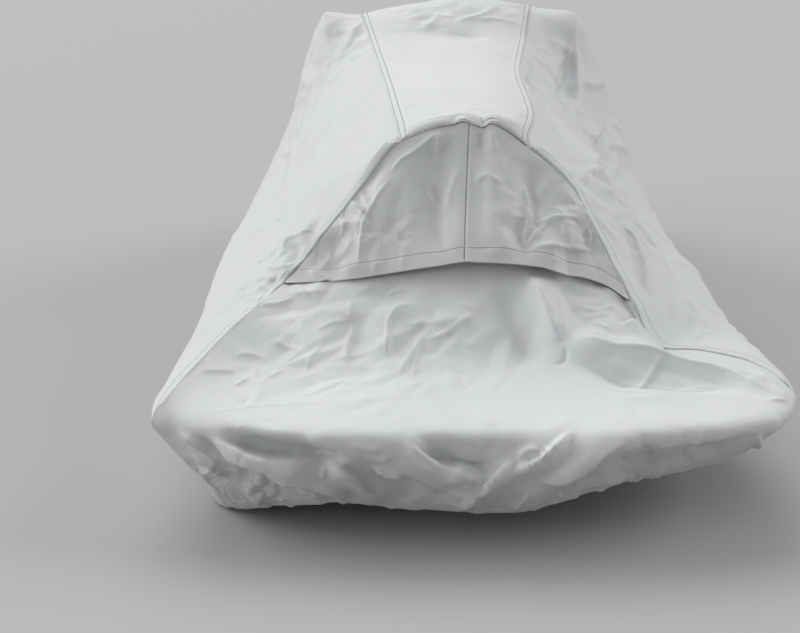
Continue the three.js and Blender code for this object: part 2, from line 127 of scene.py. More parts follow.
# Spacing of the meshes.
BACK_SPACING = 6.0
BOW_SPACING = 11.0
REAR_SPACING = 4.0
TOP_SPACING = 6.0
SIDE_STEPS = 117
REAR_STEPS = 165
FLAP_STEPS = 85
ARCH_CLOSENESS = 1.6
DENSE_STEPS = (60, 16, 40)
CREST_STEPS = 400

# Felled seams and hems: the distances from a seam and from a hem at which the meshes have a line,
# and the most of a panel's length that these lines may take. Then the edges and puckers of the bands,
# the sunk seams, the grooves of the thread and the waves of the hems.
SEAM_SPOTS = (
    0.0, 1.2, 2.4, 3.6, 5.5, 9.0, 13.0, 16.0, 18.5,
    20.5, 22.0, 24.5, 26.0, 27.5, 29.5, 32.0, 36.0,
)
HEM_SPOTS = (40.0, 37.5, 36.0, 34.5, 30.0, 25.5, 24.0, 22.5, 18.0, 12.0, 6.0, 2.0, 0.0)
MOST_SPOTS = 0.4
BAND_EDGE = 2.5
BAND_FADE_ROWS = 3
BAND_PUCKER = 0.5
PUCKER_LENGTH = 34.0
SEAM_SINK = 1.6
SINK_REACH = 7.0
GROOVE_DEPTH = 0.7
GROOVE_WIDTH = 2.4
HEM_WAVE = 4.0
HEM_WAVE_LENGTH = 85.0
HEM_WAVE_REACH = 90.0
HEM_WAVE_SEEDS = {"rear_panel": 10, "side_panel_left": 15, "side_panel_right": 16}

# The padded roll behind the arch. On the side panels it rises with the height of the seam and
# ends where the seam turns forward.
ROLL_HEIGHT = 12.0
ROLL_CREST = 27.0
ROLL_REACH = 120.0
ROLL_CORNER = 45.0
ROLL_RISE = (290, 430)
ROLL_END = (612, 640)

# Stitches: their pitch and size, the share of the height that their crown has, the shares of length and
# height at the points of their profile, and the least share of a band's span that is sewn.
STITCH_PITCH = 6.0
STITCH_LENGTH = 4.6
STITCH_WIDTH = 2.2
STITCH_HEIGHT = 0.7
STITCH_CROWN = 0.6
STITCH_PROFILE = ((-0.5, -0.35), (0.0, 0.12), (0.5, -0.35))
SEWN_SHARE = 0.5


def table(names, rows):
    return [dict(zip(names, row)) for row in rows]


def grouped(names, groups):
    """A table from groups of rows that share their first columns."""
    return [dict(zip(names, (*shared, *row))) for *shared, rows in groups for row in rows]


def of_panel(rows, name):
    return [row for row in rows if row["panel"] == name]


# A section of a side panel: its upper seam, the height of its shoulder at a share of the way
# out, its height halfway on from there, the edge where the cloth turns down, and the hem.
SECTION = (
    "seamX", "seamY", "seamZ", "share", "shoulderZ", "hollowZ",
    "edgeX", "edgeY", "edgeZ", "hemX", "hemY", "hemZ",
)

# Stern quarters: from the stern corner along the arch leg up to the top seam.
LEFT_QUARTER = table(SECTION, [
    (-580, 84, 16, 0.5, 5.5, 0.25, -597, 46, -5, -458, 165, -238),
    (-549, 160, 39, 0.5, 25, 16, -616, 148, 2, -505, 205, -245),
    (-476, 320, 93, 0.5, 58, 36, -616, 315, 8, -535, 335, -242),
    (-396, 490, 138, 0.5, 86, 52, -616, 480, 12, -550, 485, -236),
    (-293, 558, 252, 0.45, 165, 92, -620, 640, 16, -556, 642, -230),
    (-213, 592, 346, 0.4, 245, 130, -630, 790, 18, -564, 790, -224),
    (-144, 612, 425, 0.36, 318, 162, -641, 920, 20, -572, 920, -218),
])
RIGHT_QUARTER = table(SECTION, [
    (609, 234, 13, 0.5, 3, -2, 632, 182, -7, 590, 225, -82),
    (588, 274, 21, 0.5, 16, 10, 640, 290, 2, 600, 305, -96),
    (545, 312, 30, 0.5, 24, 18, 634, 380, 8, 598, 392, -110),
    (478, 355, 32, 0.5, 28, 22, 626, 470, 12, 590, 478, -124),
    (402, 385, 26, 0.5, 28, 24, 622, 560, 14, 584, 566, -136),
    (350, 455, 108, 0.45, 76, 42, 620, 665, 16, 582, 668, -146),
    (300, 520, 205, 0.42, 142, 70, 622, 770, 18, 582, 772, -154),
    (231, 580, 332, 0.38, 238, 112, 628, 860, 20, 584, 862, -160),
    (134, 612, 416, 0.36, 312, 142, 632, 950, 20, 586, 950, -165),
])

# Flanks: from the arch forward along the top seam to the bow.
LEFT_FLANK = table(SECTION, [
    (-165, 860, 462, 0.35, 345, 175, -653, 1090, 20, -582, 1090, -212),
    (-197, 1250, 500, 0.33, 385, 190, -664, 1340, 22, -590, 1340, -206),
    (-242, 1600, 571, 0.3, 480, 235, -666, 1620, 26, -594, 1620, -200),
    (-283, 1850, 650, 0.288, 646, 305, -662, 1850, 30, -592, 1850, -196),
    (-288, 2020, 632, 0.3, 575, 280, -654, 2020, 34, -586, 2020, -192),
    (-272, 2300, 520, 0.3, 455, 235, -622, 2320, 40, -552, 2310, -186),
    (-222, 2620, 355, 0.32, 300, 165, -534, 2640, 46, -466, 2620, -180),
])
RIGHT_FLANK = table(SECTION, [
    (172, 860, 462, 0.34, 322, 148, 636, 1120, 20, 588, 1120, -172),
    (176, 1280, 508, 0.33, 340, 170, 638, 1360, 22, 588, 1360, -178),
    (212, 1600, 575, 0.32, 445, 240, 648, 1620, 26, 590, 1620, -183),
    (248, 1850, 672, 0.33, 644, 368, 656, 1850, 30, 592, 1850, -187),
    (262, 2020, 640, 0.32, 575, 300, 652, 2020, 34, 586, 2020, -188),
    (258, 2300, 522, 0.3, 455, 235, 622, 2320, 40, 552, 2310, -186),
    (218, 2620, 355, 0.32, 300, 165, 534, 2640, 46, 466, 2620, -180),
])
# The bow, alike on both hands.
BOW = table(SECTION, [
    (168, 2890, 215, 0.35, 175, 108, 398, 2905, 50, 334, 2875, -174),
    (112, 3090, 110, 0.4, 92, 70, 225, 3105, 50, 184, 3065, -168),
    (78, 3180, 62, 0.5, 53, 48.5, 66, 3210, 44, 58, 3150, -164),
])
LEFT_FLANK += [{name: -size if name.endswith("X") else size for name, size in row.items()} for row in BOW]
RIGHT_FLANK += BOW
# Place of the bars among the rows of a flank.
BARS_ROW = 3

# Crest of the arch between the two top seams, with its ripple.
ARCH_CREST = table(("x", "y", "z"), [
    (-100, 616, 444),
    (-57, 620, 457),
    (-26, 621, 461),
    (-5, 622, 468),
    (20, 621, 460),
    (38, 620, 454),
    (54, 621, 464),
    (84, 618, 452),
])
CREST_REACH = 150.0

# Swell of the top panel between its seams, upward, forward and to the right: a row for the arch,
# then one for each flank section.
TOP_SWELL = table(("up", "forward", "across"), [
    (46, 10, 14),
    (15, 0, 0),
    (10, 0, 0),
    (14, 0, 0),
    (30, 0, 0),
    (32, 0, 0),
    (30, 0, 0),
    (28, 0, 0),
    (24, 0, 0),
    (16, 4, 0),
    (6, 16, 0),
])
BOW_FORWARD = 30.0

# Stern sections from the left corner to the right one: the foot of the slope, edge and hem.
STERN = table(SECTION[3:], [
    (0.5, 5.5, 0.25, -597, 46, -5, -458, 165, -238),
    (0.5, 22, 8, -556, 28, -4, -400, 125, -215),
    (0.5, 32, 10, -480, 6, -4, -330, 95, -192),
    (0.54, 24, 7, -360, -18, -4, -251, 82, -180),
    (0.56, 16, 4, -180, -26, -4, -120, 74, -190),
    (0.56, 14, 3, 0, -22, -4, 32, 62, -196),
    (0.56, 15, 3, 180, -18, -4, 150, 60, -176),
    (0.54, 18, 4, 340, 2, -4, 276, 84, -142),
    (0.5, 20, 5, 470, 30, -5, 410, 104, -122),
    (0.5, 16, 4, 562, 68, -6, 505, 135, -110),
    (0.5, 8, 0, 610, 122, -8, 556, 178, -95),
    (0.5, 3, -2, 632, 182, -7, 590, 225, -82),
])
# Evening of the rear panel's rows away from its sewn sides, the shares of the stern run at which it
# leaves the arch legs, and its unseen upper edge.
REAR_EASE = 70.0
REAR_EASINGS = 120
STERN_LEFT_SHARE = 0.24
STERN_RIGHT_SHARE = 0.645
HIDDEN_EDGE = table(("x", "y", "z"), [
    (-374, 514, 138),
    (-300, 552, 190),
    (-150, 576, 245),
    (0, 585, 275),
    (150, 576, 245),
    (255, 545, 188),
    (330, 484, 114),
])

# Flap hem from each arch leg to the centre seam.
FLAP_LEFT_ROW = 3
FLAP_RIGHT_ROW = 5
FLAP_LEFT_HEM = table(("x", "y", "z"), [
    (-389, 491, 138),
    (-262, 468, 151),
    (-143, 458, 172),
    (-5, 452, 195),
])
FLAP_RIGHT_HEM = table(("x", "y", "z"), [
    (343, 457, 111),
    (290, 470, 142),
    (195, 462, 170),
    (113, 455, 188),
    (-5, 452, 195),
])

# Peaks that lift every panel around a point.
PEAKS = table(("x", "y", "height", "radius"), [
    (-390, 1850, 16, 130),
    (390, 1850, 14, 130),
    (60, 1850, 8, 220),
])

# Main folds along a line of three points; a negative height is a trough. The chart names the two
# axes: plan is x and y above the edge, flank y and z above it, stern x and z on what hangs at the
# stern, and side y and z on what hangs at the sides.
FOLDS = grouped(("panel", "chart", "width", "height", "line"), [
    ("rear_panel", "plan", [
        (62, 15, ((120, 480), (185, 345), (300, 292))),
        (55, 10, ((185, 345), (300, 292), (410, 300))),
        (60, -13, ((60, 460), (105, 365), (160, 280))),
        (52, -13, ((235, 235), (390, 218), (560, 185))),
        (55, 8, ((-170, 420), (-160, 330), (-150, 240))),
        (55, -8, ((-245, 420), (-235, 310), (-225, 210))),
        (60, 8, ((-420, 400), (-340, 330), (-320, 220))),
    ]),
    ("rear_panel", "stern", [
        (42, -16, ((-490, -22), (-340, -46), (-235, -66))),
        (48, 13, ((-540, -62), (-410, -84), (-290, -104))),
        (48, -12, ((-500, -118), (-420, -134), (-320, -150))),
        (45, 14, ((-275, -60), (-215, -110), (-165, -175))),
        (45, -12, ((-225, -60), (-160, -110), (-100, -165))),
        (45, -9, ((-120, -30), (0, -42), (110, -40))),
        (42, 12, ((-60, -195), (50, -95), (170, -15))),
        (45, 12, ((45, -185), (145, -118), (225, -45))),
        (45, -10, ((110, -170), (205, -90), (260, -50))),
    ]),
    ("vent_flap_left", "stern", [
        (62, -15, ((-55, 450), (-68, 330), (-55, 190))),
        (58, 8, ((-170, 390), (-212, 290), (-222, 150))),
        (50, -8, ((-330, 240), (-290, 200), (-260, 150))),
    ]),
    ("vent_flap_right", "stern", [
        (55, 9, ((40, 420), (66, 310), (62, 190))),
        (48, -10, ((135, 400), (150, 300), (118, 185))),
        (45, 11, ((130, 175), (200, 240), (262, 300))),
        (40, -8, ((190, 165), (240, 205), (300, 235))),
    ]),
    ("side_panel_left", "flank", [
        (60, -10, ((1800, 610), (1600, 455), (1350, 350))),
        (70, 9, ((1350, 450), (1100, 330), (900, 200))),
        (60, -9, ((1700, 250), (1350, 190), (1050, 130))),
    ]),
    ("side_panel_right", "flank", [
        (60, -20, ((1810, 625), (1660, 500), (1480, 380))),
        (50, -14, ((1600, 530), (1400, 470), (1150, 410))),
        (60, 14, ((1250, 400), (950, 330), (720, 290))),
        (50, -11, ((1000, 130), (800, 110), (600, 70))),
    ]),
    ("side_panel_left", "side", [
        (55, 9, ((330, -15), (365, -110), (425, -225))),
        (55, -10, ((540, -10), (515, -110), (450, -225))),
        (65, 11, ((870, 0), (905, -100), (990, -215))),
        (60, -10, ((1140, 0), (1085, -100), (1065, -210))),
        (70, 11, ((1500, 5), (1565, -90), (1605, -200))),
        (60, -12, ((1770, 10), (1745, -90), (1690, -195))),
        (65, 10, ((2080, 15), (2115, -90), (2190, -190))),
        (60, -10, ((2430, 20), (2385, -80), (2375, -185))),
        (55, 8, ((2700, 25), (2745, -80), (2775, -175))),
    ]),
    ("side_panel_right", "side", [
        (50, 8, ((470, -10), (500, -60), (560, -125))),
        (55, -10, ((700, 0), (670, -70), (650, -145))),
        (60, 11, ((960, 0), (1010, -80), (1040, -165))),
        (60, -9, ((1240, 5), (1210, -80), (1150, -170))),
        (70, 12, ((1530, 10), (1560, -85), (1640, -180))),
        (60, -11, ((1840, 15), (1800, -85), (1790, -185))),
        (65, 10, ((2170, 15), (2225, -85), (2245, -185))),
        (60, -9, ((2500, 20), (2465, -80), (2410, -180))),
        (55, 8, ((2760, 25), (2780, -80), (2820, -175))),
    ]),
    ("top_panel", "plan", [
        (60, -6, ((-120, 760), (0, 735), (130, 790))),
        (70, 7, ((-150, 1790), (-60, 1700), (60, 1640))),
    ]),
])

# Creases on the main folds: the reach of the cloth that rises to the crest on each hand of the
# line as it is walked, the height of the crest, and the line. A negative height is a trough.
CREASES = grouped(("panel", "chart", "left", "right", "height", "line"), [
    ("rear_panel", "plan", [
        # Stern deck, left half.
        (40, 7, 2.4, ((-528, 184), (-496, 197), (-455, 214))),
        (45, 9, 3.5, ((-440, 408), (-398, 428), (-368, 448))),
        (20, 12, 4, ((-378, 490), (-350, 462), (-325, 432))),
        (16, 8, 3, ((-385, 462), (-335, 452), (-285, 456))),
        (8, 24, 2.6, ((-235, 386), (-285, 377), (-318, 358))),
        (8, 10, 4, ((-240, 378), (-246, 400), (-246, 425))),
        (9, 22, 5, ((-237, 388), (-247, 333), (-255, 262))),
        (9, 20, 4, ((-300, 332), (-319, 277), (-330, 228))),
        (9, 28, 5, ((-140, 412), (-162, 382), (-166, 334), (-167, 280))),
        (8, 10, 4, ((-162, 384), (-146, 408), (-122, 412))),
        (10, 16, 5, ((-94, 358), (-122, 300), (-146, 230))),
        (10, 12, 4, ((-97, 358), (-108, 300), (-117, 222))),
        (10, 26, 5, ((28, 396), (-6, 381), (-42, 356), (-95, 336))),
        (8, 10, 4, ((-18, 414), (5, 405), (28, 396))),
        (12, 8, 3, ((-133, 373), (-85, 375), (-34, 371))),
        (8, 10, 4, ((-178, 430), (-155, 441), (-125, 441))),
        (8, 10, 4, ((-457, 162), (-445, 180), (-432, 200))),
        (8, 10, 4, ((-401, 193), (-386, 217), (-369, 242))),
        (7, 8, 3, ((-426, 240), (-423, 220), (-418, 196))),
        (12, 14, 4, ((-412, 322), (-378, 312), (-340, 298))),
        (14, 16, 4, ((-470, 250), (-440, 270), (-400, 262))),
        (14, 14, 1.5, ((-555, 48), (-420, 92), (-260, 119), (-138, 142))),
        # Stern deck, right half.
        (55, 24, 18, ((118, 484), (137, 453), (155, 410), (173, 357), (195, 323))),
        (12, 16, 5, ((192, 452), (191, 404), (197, 327))),
        (8, 8, 3, ((140, 448), (160, 415), (178, 380))),
        (8, 8, -4, ((195, 322), (190, 288), (162, 279))),
        (60, 28, 18, ((195, 322), (240, 326), (290, 308), (345, 296), (412, 269), (502, 230), (535, 196),
                      (572, 167), (603, 146))),
        (34, 34, -11, ((207, 285), (277, 238), (356, 206), (434, 186), (500, 200))),
        (10, 26, 6, ((388, 286), (337, 222), (295, 195))),
        (10, 10, -6, ((305, 380), (334, 408), (366, 446))),
        (8, 16, 5, ((318, 375), (345, 400), (368, 425))),
        (14, 16, 4, ((229, 417), (275, 414), (336, 452))),
        (10, 14, 4, ((253, 381), (275, 372), (298, 361))),
        (14, 10, 7, ((285, 480), (305, 470), (346, 462))),
        (16, 20, 6, ((555, 276), (580, 205), (603, 140))),
        (8, 10, 4, ((562, 138), (580, 143), (600, 150))),
    ]),
    ("rear_panel", "stern", [
        # Stern skirt, left: the hollow under the deck edge, the fold below it and the tuck under that.
        (44, 14, -20, ((-472, -22), (-433, -36), (-395, -48), (-345, -53), (-295, -54), (-252, -58),
                       (-226, -72))),
        (16, 52, 30, ((-488, -24), (-440, -47), (-404, -61), (-360, -69), (-315, -68), (-264, -64))),
        (22, 40, -16, ((-515, -20), (-470, -58), (-440, -84), (-407, -98), (-365, -104))),
        (14, 30, 8, ((-548, -20), (-515, -42), (-490, -62), (-462, -96))),
        (45, 6, 22, ((-395, -98), (-352, -108), (-322, -113), (-277, -136), (-230, -166))),
        (12, 9, 19, ((-266, -62), (-224, -97), (-203, -127), (-174, -166))),
        (18, 8, -13, ((-250, -58), (-208, -94), (-188, -124), (-160, -158))),
        (8, 10, 6, ((-270, -66), (-276, -90), (-280, -110))),
        (24, 9, 8, ((-308, -10), (-285, -20), (-262, -32), (-244, -52))),
        (10, 30, 12, ((-188, -84), (-156, -93), (-128, -97))),
        (10, 12, 7, ((-527, -112), (-502, -118), (-477, -82))),
        (10, 12, 7, ((-500, -130), (-470, -110), (-430, -118))),
        (8, 14, 8, ((-413, -133), (-390, -142), (-365, -146))),
        (10, 12, 8, ((-440, -150), (-410, -170), (-370, -170))),
        (10, 14, 7, ((-520, -80), (-490, -100), (-470, -140))),
        (9, 14, 8, ((-345, -140), (-305, -152), (-262, -168))),
        (9, 12, -7, ((-395, -118), (-350, -128), (-310, -140))),
        # Stern skirt, middle: the second hollow, its fold, and the diagonals that meet at the hem.
        (46, 18, -16, ((-126, -14), (-103, -30), (-78, -46), (-30, -64), (8, -72), (56, -70))),
        (20, 48, 27, ((-134, -16), (-102, -40), (-78, -60), (-38, -82), (9, -99), (50, -104))),
        (22, 24, -12, ((-142, -102), (-94, -128), (-44, -162), (-20, -182))),
        (10, 44, 20, ((-26, -192), (-5, -152), (26, -99), (53, -72), (80, -50))),
        (10, 38, 14, ((58, -78), (106, -52), (125, -37), (149, -20), (174, -4))),
        (7, 9, 6, ((77, -56), (82, -42), (96, -32), (121, -38))),
        (8, 16, 7, ((72, -184), (87, -152), (101, -122))),
        (9, 12, 5, ((-232, -22), (-196, -34), (-160, -30))),
        (9, 12, 5, ((-205, -50), (-175, -58), (-150, -48))),
        # Stern skirt, right: the long curved fold, the hollow beside it and the part tucked under.
        (48, 10, 28, ((108, -112), (146, -99), (173, -79), (197, -60), (211, -44), (236, -34), (266, -20))),
        (12, 55, -20, ((150, -148), (181, -112), (205, -78), (230, -56))),
        (10, 60, -34, ((212, -54), (263, -58), (314, -60), (397, -54), (454, -46), (530, -38))),
        (12, 12, 13, ((325, -52), (334, -88), (345, -132))),
        (11, 12, 12, ((454, -38), (464, -58), (474, -90))),
        (10, 12, 9, ((156, -118), (162, -139), (168, -164))),
        (12, 14, 8, ((388, -50), (400, -78), (411, -114))),
        (10, 12, 9, ((518, -34), (528, -58), (538, -95))),
        (13, 16, 8, ((268, -62), (285, -98), (294, -145))),
    ]),
    ("vent_flap_left", "stern", [
        # Flap, left half.
        (22, 14, 7, ((-55, 450), (-111, 406), (-148, 382), (-168, 355))),
        (9, 11, 5, ((-14, 372), (-31, 335), (-45, 294))),
        (9, 11, 5, ((-106, 370), (-78, 334), (-62, 298))),
        (45, 20, 4, ((-155, 360), (-189, 312), (-215, 263), (-227, 208), (-235, 165))),
        (8, 10, 7, ((-256, 292), (-228, 282), (-211, 264))),
        (14, 18, 8, ((-60, 452), (-57, 425), (-62, 395))),
        (8, 10, 5, ((-345, 165), (-310, 152), (-285, 140))),
    ]),
    ("vent_flap_right", "stern", [
        # Flap, right half.
        (9, 14, 8, ((120, 345), (135, 294), (131, 258), (116, 214))),
        (10, 16, 6, ((116, 216), (155, 248), (193, 269), (222, 264))),
        (10, 12, 5, ((138, 262), (182, 267), (255, 266))),
        (22, 8, 8, ((116, 217), (202, 214), (290, 205))),
        (8, 8, 4, ((190, 292), (203, 281), (216, 267))),
        (8, 8, 4, ((262, 250), (268, 235), (262, 215))),
        (8, 10, 4, ((240, 300), (255, 280), (268, 262))),
        (14, 30, 4, ((15, 338), (36, 354), (82, 336))),
        (12, 12, -8, ((38, 452), (34, 430), (36, 405))),
        (10, 14, 6, ((56, 455), (58, 430), (66, 400))),
    ]),
    ("side_panel_left", "plan", [
        # Left side, beside the arch leg and below the peak.
        (40, 26, 11, ((-415, 618), (-370, 592), (-328, 578))),
        (14, 14, -7, ((-408, 600), (-385, 570), (-362, 536))),
        (14, 22, 9, ((-446, 568), (-409, 538), (-370, 524))),
        (12, 20, 7, ((-470, 538), (-440, 531), (-412, 506))),
        (8, 12, 5, ((-498, 505), (-482, 507), (-470, 497))),
        (20, 16, 4, ((-493, 509), (-545, 470), (-530, 330))),
        (16, 20, 4, ((-470, 850), (-515, 950), (-565, 1050))),
    ]),
    ("side_panel_left", "flank", [
        (24, 24, 7, ((1385, 421), (1381, 377), (1444, 274))),
        (24, 24, 8, ((1614, 483), (1600, 389), (1505, 306))),
    ]),
    ("side_panel_left", "plan", [
        (60, 30, 9, ((-260, 1446), (-320, 1203), (-394, 881), (-468, 757), (-530, 721))),
        (20, 14, 7, ((-365, 1634), (-398, 1608), (-426, 1564), (-463, 1459), (-487, 1341))),
        (12, 16, 6, ((-545, 1717), (-500, 1580), (-462, 1448))),
        (16, 20, 6, ((-621, 1273), (-548, 1096), (-472, 852))),
    ]),
    ("side_panel_right", "plan", [
        # Right side, beside the arch leg and below the peak.
        (26, 40, -8, ((386, 645), (444, 726), (539, 979))),
        (36, 24, 11, ((340, 621), (371, 627), (386, 596), (388, 505))),
        (20, 26, 6, ((428, 1490), (510, 1659), (575, 1770))),
        (16, 40, 7, ((508, 1650), (482, 1516), (430, 1300))),
        (14, 30, 6, ((233, 755), (280, 728), (316, 838))),
        (26, 30, -10, ((208, 1475), (222, 1360), (249, 975), (262, 759))),
        (8, 12, 6, ((237, 1612), (271, 1654), (303, 1670))),
        (10, 16, 5, ((373, 1644), (439, 1718), (499, 1834))),
    ]),
    ("side_panel_right", "flank", [
        (30, 40, 10, ((1824, 635), (1671, 518), (1492, 414))),
    ]),
    ("side_panel_right", "plan", [
        (14, 20, 3, ((565, 620), (510, 490), (462, 385))),
        (12, 26, 8, ((482, 1708), (415, 1510), (327, 944))),
        (24, 12, 8, ((288, 776), (375, 1171), (428, 1490))),
        (9, 14, 6, ((273, 701), (300, 754), (329, 835))),
        (14, 20, 9, ((504, 1334), (542, 1360), (622, 1606))),
        (12, 18, 7, ((385, 933), (362, 810), (339, 681))),
        (10, 14, 6, ((405, 1485), (424, 1540), (440, 1584))),
        (24, 32, -15, ((365, 1765), (347, 1668), (320, 1492), (340, 1404))),
        (28, 14, 12, ((389, 1793), (385, 1703), (369, 1576), (365, 1484))),
        (10, 14, 4, ((384, 1658), (440, 1721), (487, 1802))),
        (9, 20, 10, ((420, 1478), (487, 1621), (531, 1693), (585, 1768))),
        (12, 16, 7, ((376, 1400), (327, 944), (280, 663))),
        (20, 12, 8, ((473, 1562), (479, 1498), (377, 915), (351, 727))),
        (9, 12, 8, ((416, 1523), (444, 1612), (478, 1705))),
    ]),
    ("top_panel", "plan", [
        # Top, behind the bars and beside the arch.
        (10, 16, 6, ((-115, 1716), (-69, 1677), (-38, 1726), (-23, 1710), (20, 1737))),
        (12, 20, 7, ((-6, 1672), (31, 1703), (96, 1736), (146, 1804))),
        (12, 16, 4, ((-170, 1790), (-100, 1770), (-40, 1790))),
        (10, 14, 3, ((60, 1700), (140, 1720), (210, 1700))),
        (14, 22, 2.5, ((-45, 795), (60, 812), (165, 800))),
    ]),
])

# Kinds of felled bands and hems: their width and height, the distances of their lines of thread from
# the side, and the shade of the thread. The dark shade is partly the thread's own grey and partly
# painted shadow of the needle holes and the groove along the seam.
ARCH_BAND = (30, 2.2, (3.0, 27.0), "dark")
SEAM_BAND = (20, 1.4, (3.0, 17.0), "dark")
PANEL_HEM = (24, 1.2, (22.0,), "pale")
FLAP_HEM = (36, 1.0, (34.0,), "dark")
CENTRE_SEAM = (5, 0.3, (2.4,), "dark")
# The sides of panels that have them, over a span of their rows.
BANDS = table(("panel", "side", "span", "width", "height", "lines", "thread"), [
    ("top_panel", "firstRow", "all", *ARCH_BAND),
    ("top_panel", "firstPoint", "flank", *SEAM_BAND),
    ("top_panel", "lastPoint", "flank", *SEAM_BAND),
    ("top_panel", "lastRow", "all", *PANEL_HEM),
    ("side_panel_left", "firstPoint", "quarter", *ARCH_BAND),
    ("side_panel_left", "lastPoint", "all", *PANEL_HEM),
    ("side_panel_right", "firstPoint", "quarter", *ARCH_BAND),
    ("side_panel_right", "lastPoint", "all", *PANEL_HEM),
    ("rear_panel", "lastPoint", "all", *PANEL_HEM),
    ("vent_flap_left", "lastPoint", "all", *FLAP_HEM),
    ("vent_flap_right", "lastPoint", "all", *FLAP_HEM),
    ("vent_flap_left", "lastRow", "all", *CENTRE_SEAM),
])
# Sides that lie under a neighbour's band.
SUNK = {
    "rear_panel": ("firstPoint", "firstRow", "lastRow"),
    "vent_flap_left": ("firstPoint",),
    "vent_flap_right": ("firstPoint",),
    "side_panel_left": ("firstPoint", "lastRow"),
    "side_panel_right": ("firstPoint", "lastRow"),
    "top_panel": (),
}
# Gathers that run up from a hem, between two places along it: the seed of their places, their mean
# spacing, length, width and height.
GATHERS = table(("panel", "seed", "from", "to", "spacing", "length", "width", "height"), [
    ("rear_panel", 11, 0, 360, 34, 70, 13, 5),
    ("rear_panel", 14, 360, 640, 90, 60, 18, 3),
    ("rear_panel", 15, 640, 1400, 36, 60, 12, 5),
    ("side_panel_left", 12, 0, 5000, 60, 80, 17, 4),
    ("side_panel_right", 13, 0, 5000, 55, 80, 17, 5),
])
# Patches of small crumples: the seed of their places, the centre and radius of the patch, their count,
# length, width and height.
CRUMPLES = grouped(("panel", "seed", "centre", "radius", "count", "length", "width", "height"), [
    ("rear_panel", [
        (31, (-220, 330, 60), 230, 30, 75, 22, 1.6),
        (32, (290, 400, 90), 140, 18, 65, 20, 1.8),
        (33, (0, 0, -80), 420, 34, 85, 22, 2.4),
        (34, (-440, 90, -140), 140, 26, 60, 18, 3.6),
        (35, (480, 210, 10), 120, 12, 75, 22, 2.4),
    ]),
    ("vent_flap_left", [
        (36, (-230, 520, 240), 150, 14, 70, 20, 3.0),
    ]),
    ("vent_flap_right", [
        (37, (190, 520, 250), 140, 22, 65, 20, 3.2),
    ]),
    ("side_panel_right", [
        (38, (430, 1350, 290), 380, 44, 110, 30, 4.0),
        (39, (480, 1000, 150), 300, 30, 110, 28, 3.4),
        (40, (340, 680, 270), 120, 18, 75, 20, 3.0),
        (41, (540, 520, 40), 170, 12, 90, 24, 2.6),
        (46, (450, 2500, 200), 900, 60, 170, 40, 3.6),
    ]),
    ("side_panel_left", [
        (42, (-400, 540, 150), 140, 14, 70, 20, 3.0),
        (43, (-520, 1100, 150), 320, 24, 140, 34, 3.4),
        (44, (-390, 1680, 480), 200, 20, 110, 30, 3.6),
        (45, (-450, 2500, 200), 900, 60, 170, 40, 3.6),
    ]),
    ("top_panel", [
        (47, (0, 1720, 650), 170, 12, 90, 24, 2.6),
        (48, (60, 820, 470), 200, 8, 90, 24, 1.8),
        (49, (0, 2500, 450), 800, 30, 150, 36, 3.0),
    ]),
])

# Patches of flat facets with fine creases between them: the seed of their places, the centre and
# radius of the patch, the count of its facets, and the steepness of the steepest. Some lie only on
# what hangs from the edge.
FACETS = grouped(("panel", "seed", "centre", "radius", "count", "steep", "hangs"), [
    ("rear_panel", [
        (51, (-230, 330, 60), 260, 64, 0.3, False),
        (52, (300, 400, 80), 160, 34, 0.3, False),
        (53, (-430, 80, -165), 130, 50, 0.6, True),
        (54, (-190, 10, -70), 120, 26, 0.5, True),
        (55, (60, 20, -140), 170, 26, 0.34, True),
        (56, (420, 70, -80), 230, 60, 0.6, True),
        (57, (20, 330, 70), 160, 24, 0.26, False),
    ]),
    ("vent_flap_left", [
        (58, (-200, 500, 260), 210, 26, 0.32, False),
    ]),
    ("vent_flap_right", [
        (59, (180, 500, 260), 190, 34, 0.36, False),
    ]),
    ("side_panel_right", [
        (60, (420, 1300, 290), 420, 110, 0.38, False),
        (61, (360, 700, 260), 210, 56, 0.36, False),
        (62, (530, 560, 60), 230, 30, 0.14, False),
        (67, (450, 2500, 200), 850, 150, 0.09, False),
    ]),
    ("side_panel_left", [
        (63, (-400, 560, 140), 180, 40, 0.27, False),
        (64, (-480, 1100, 200), 420, 54, 0.12, False),
        (65, (-380, 1700, 500), 260, 40, 0.15, False),
        (66, (-450, 2500, 200), 850, 150, 0.09, False),
    ]),
    ("top_panel", [
        (68, (0, 1720, 650), 230, 28, 0.14, False),
        (69, (40, 760, 465), 230, 24, 0.06, False),
        (70, (0, 2500, 450), 750, 80, 0.08, False),
    ]),
])


def monotone(knots, values):
    """Monotone cubic through values at knots."""
    knots, values = np.asarray(knots, float), np.asarray(values, float)
    steps = np.diff(knots)
    rises = np.diff(values) / steps
    slopes = np.zeros(len(values))
    slopes[0], slopes[-1] = rises[0], rises[-1]
    for i in range(1, len(steps)):
        if rises[i - 1] * rises[i] > 0:
            before = 2 * steps[i] + steps[i - 1]
            after = steps[i] + 2 * steps[i - 1]
            slopes[i] = (before + after) / (before / rises[i - 1] + after / rises[i])

    def curve(place):
        i = np.clip(np.searchsorted(knots, place, side="right") - 1, 0, len(steps) - 1)
        t = (place - knots[i]) / steps[i]
        drawn = values[i] + t * t * (3 - 2 * t) * (values[i + 1] - values[i])
        return drawn + steps[i] * (t * (1 - t) ** 2 * slopes[i] + t * t * (t - 1) * slopes[i + 1])

    return curve


def run(rows, place_x, place_y):
    """Rows as columns over the row number, smooth over the distance between their places."""
    columns = {name: np.array([row[name] for row in rows], float) for name in rows[0]}
    gaps = np.hypot(np.diff(columns[place_x]), np.diff(columns[place_y]))
    along = np.concatenate([[0], np.cumsum(gaps)])
    curves = {name: monotone(along, values) for name, values in columns.items()}

    def at(numbers):
        place = np.interp(numbers, np.arange(len(rows)), along)
        return {name: curve(place) for name, curve in curves.items()}

    return at


def spot(section, name):
    return np.stack([section[name + axis] for axis in "XYZ"], -1)


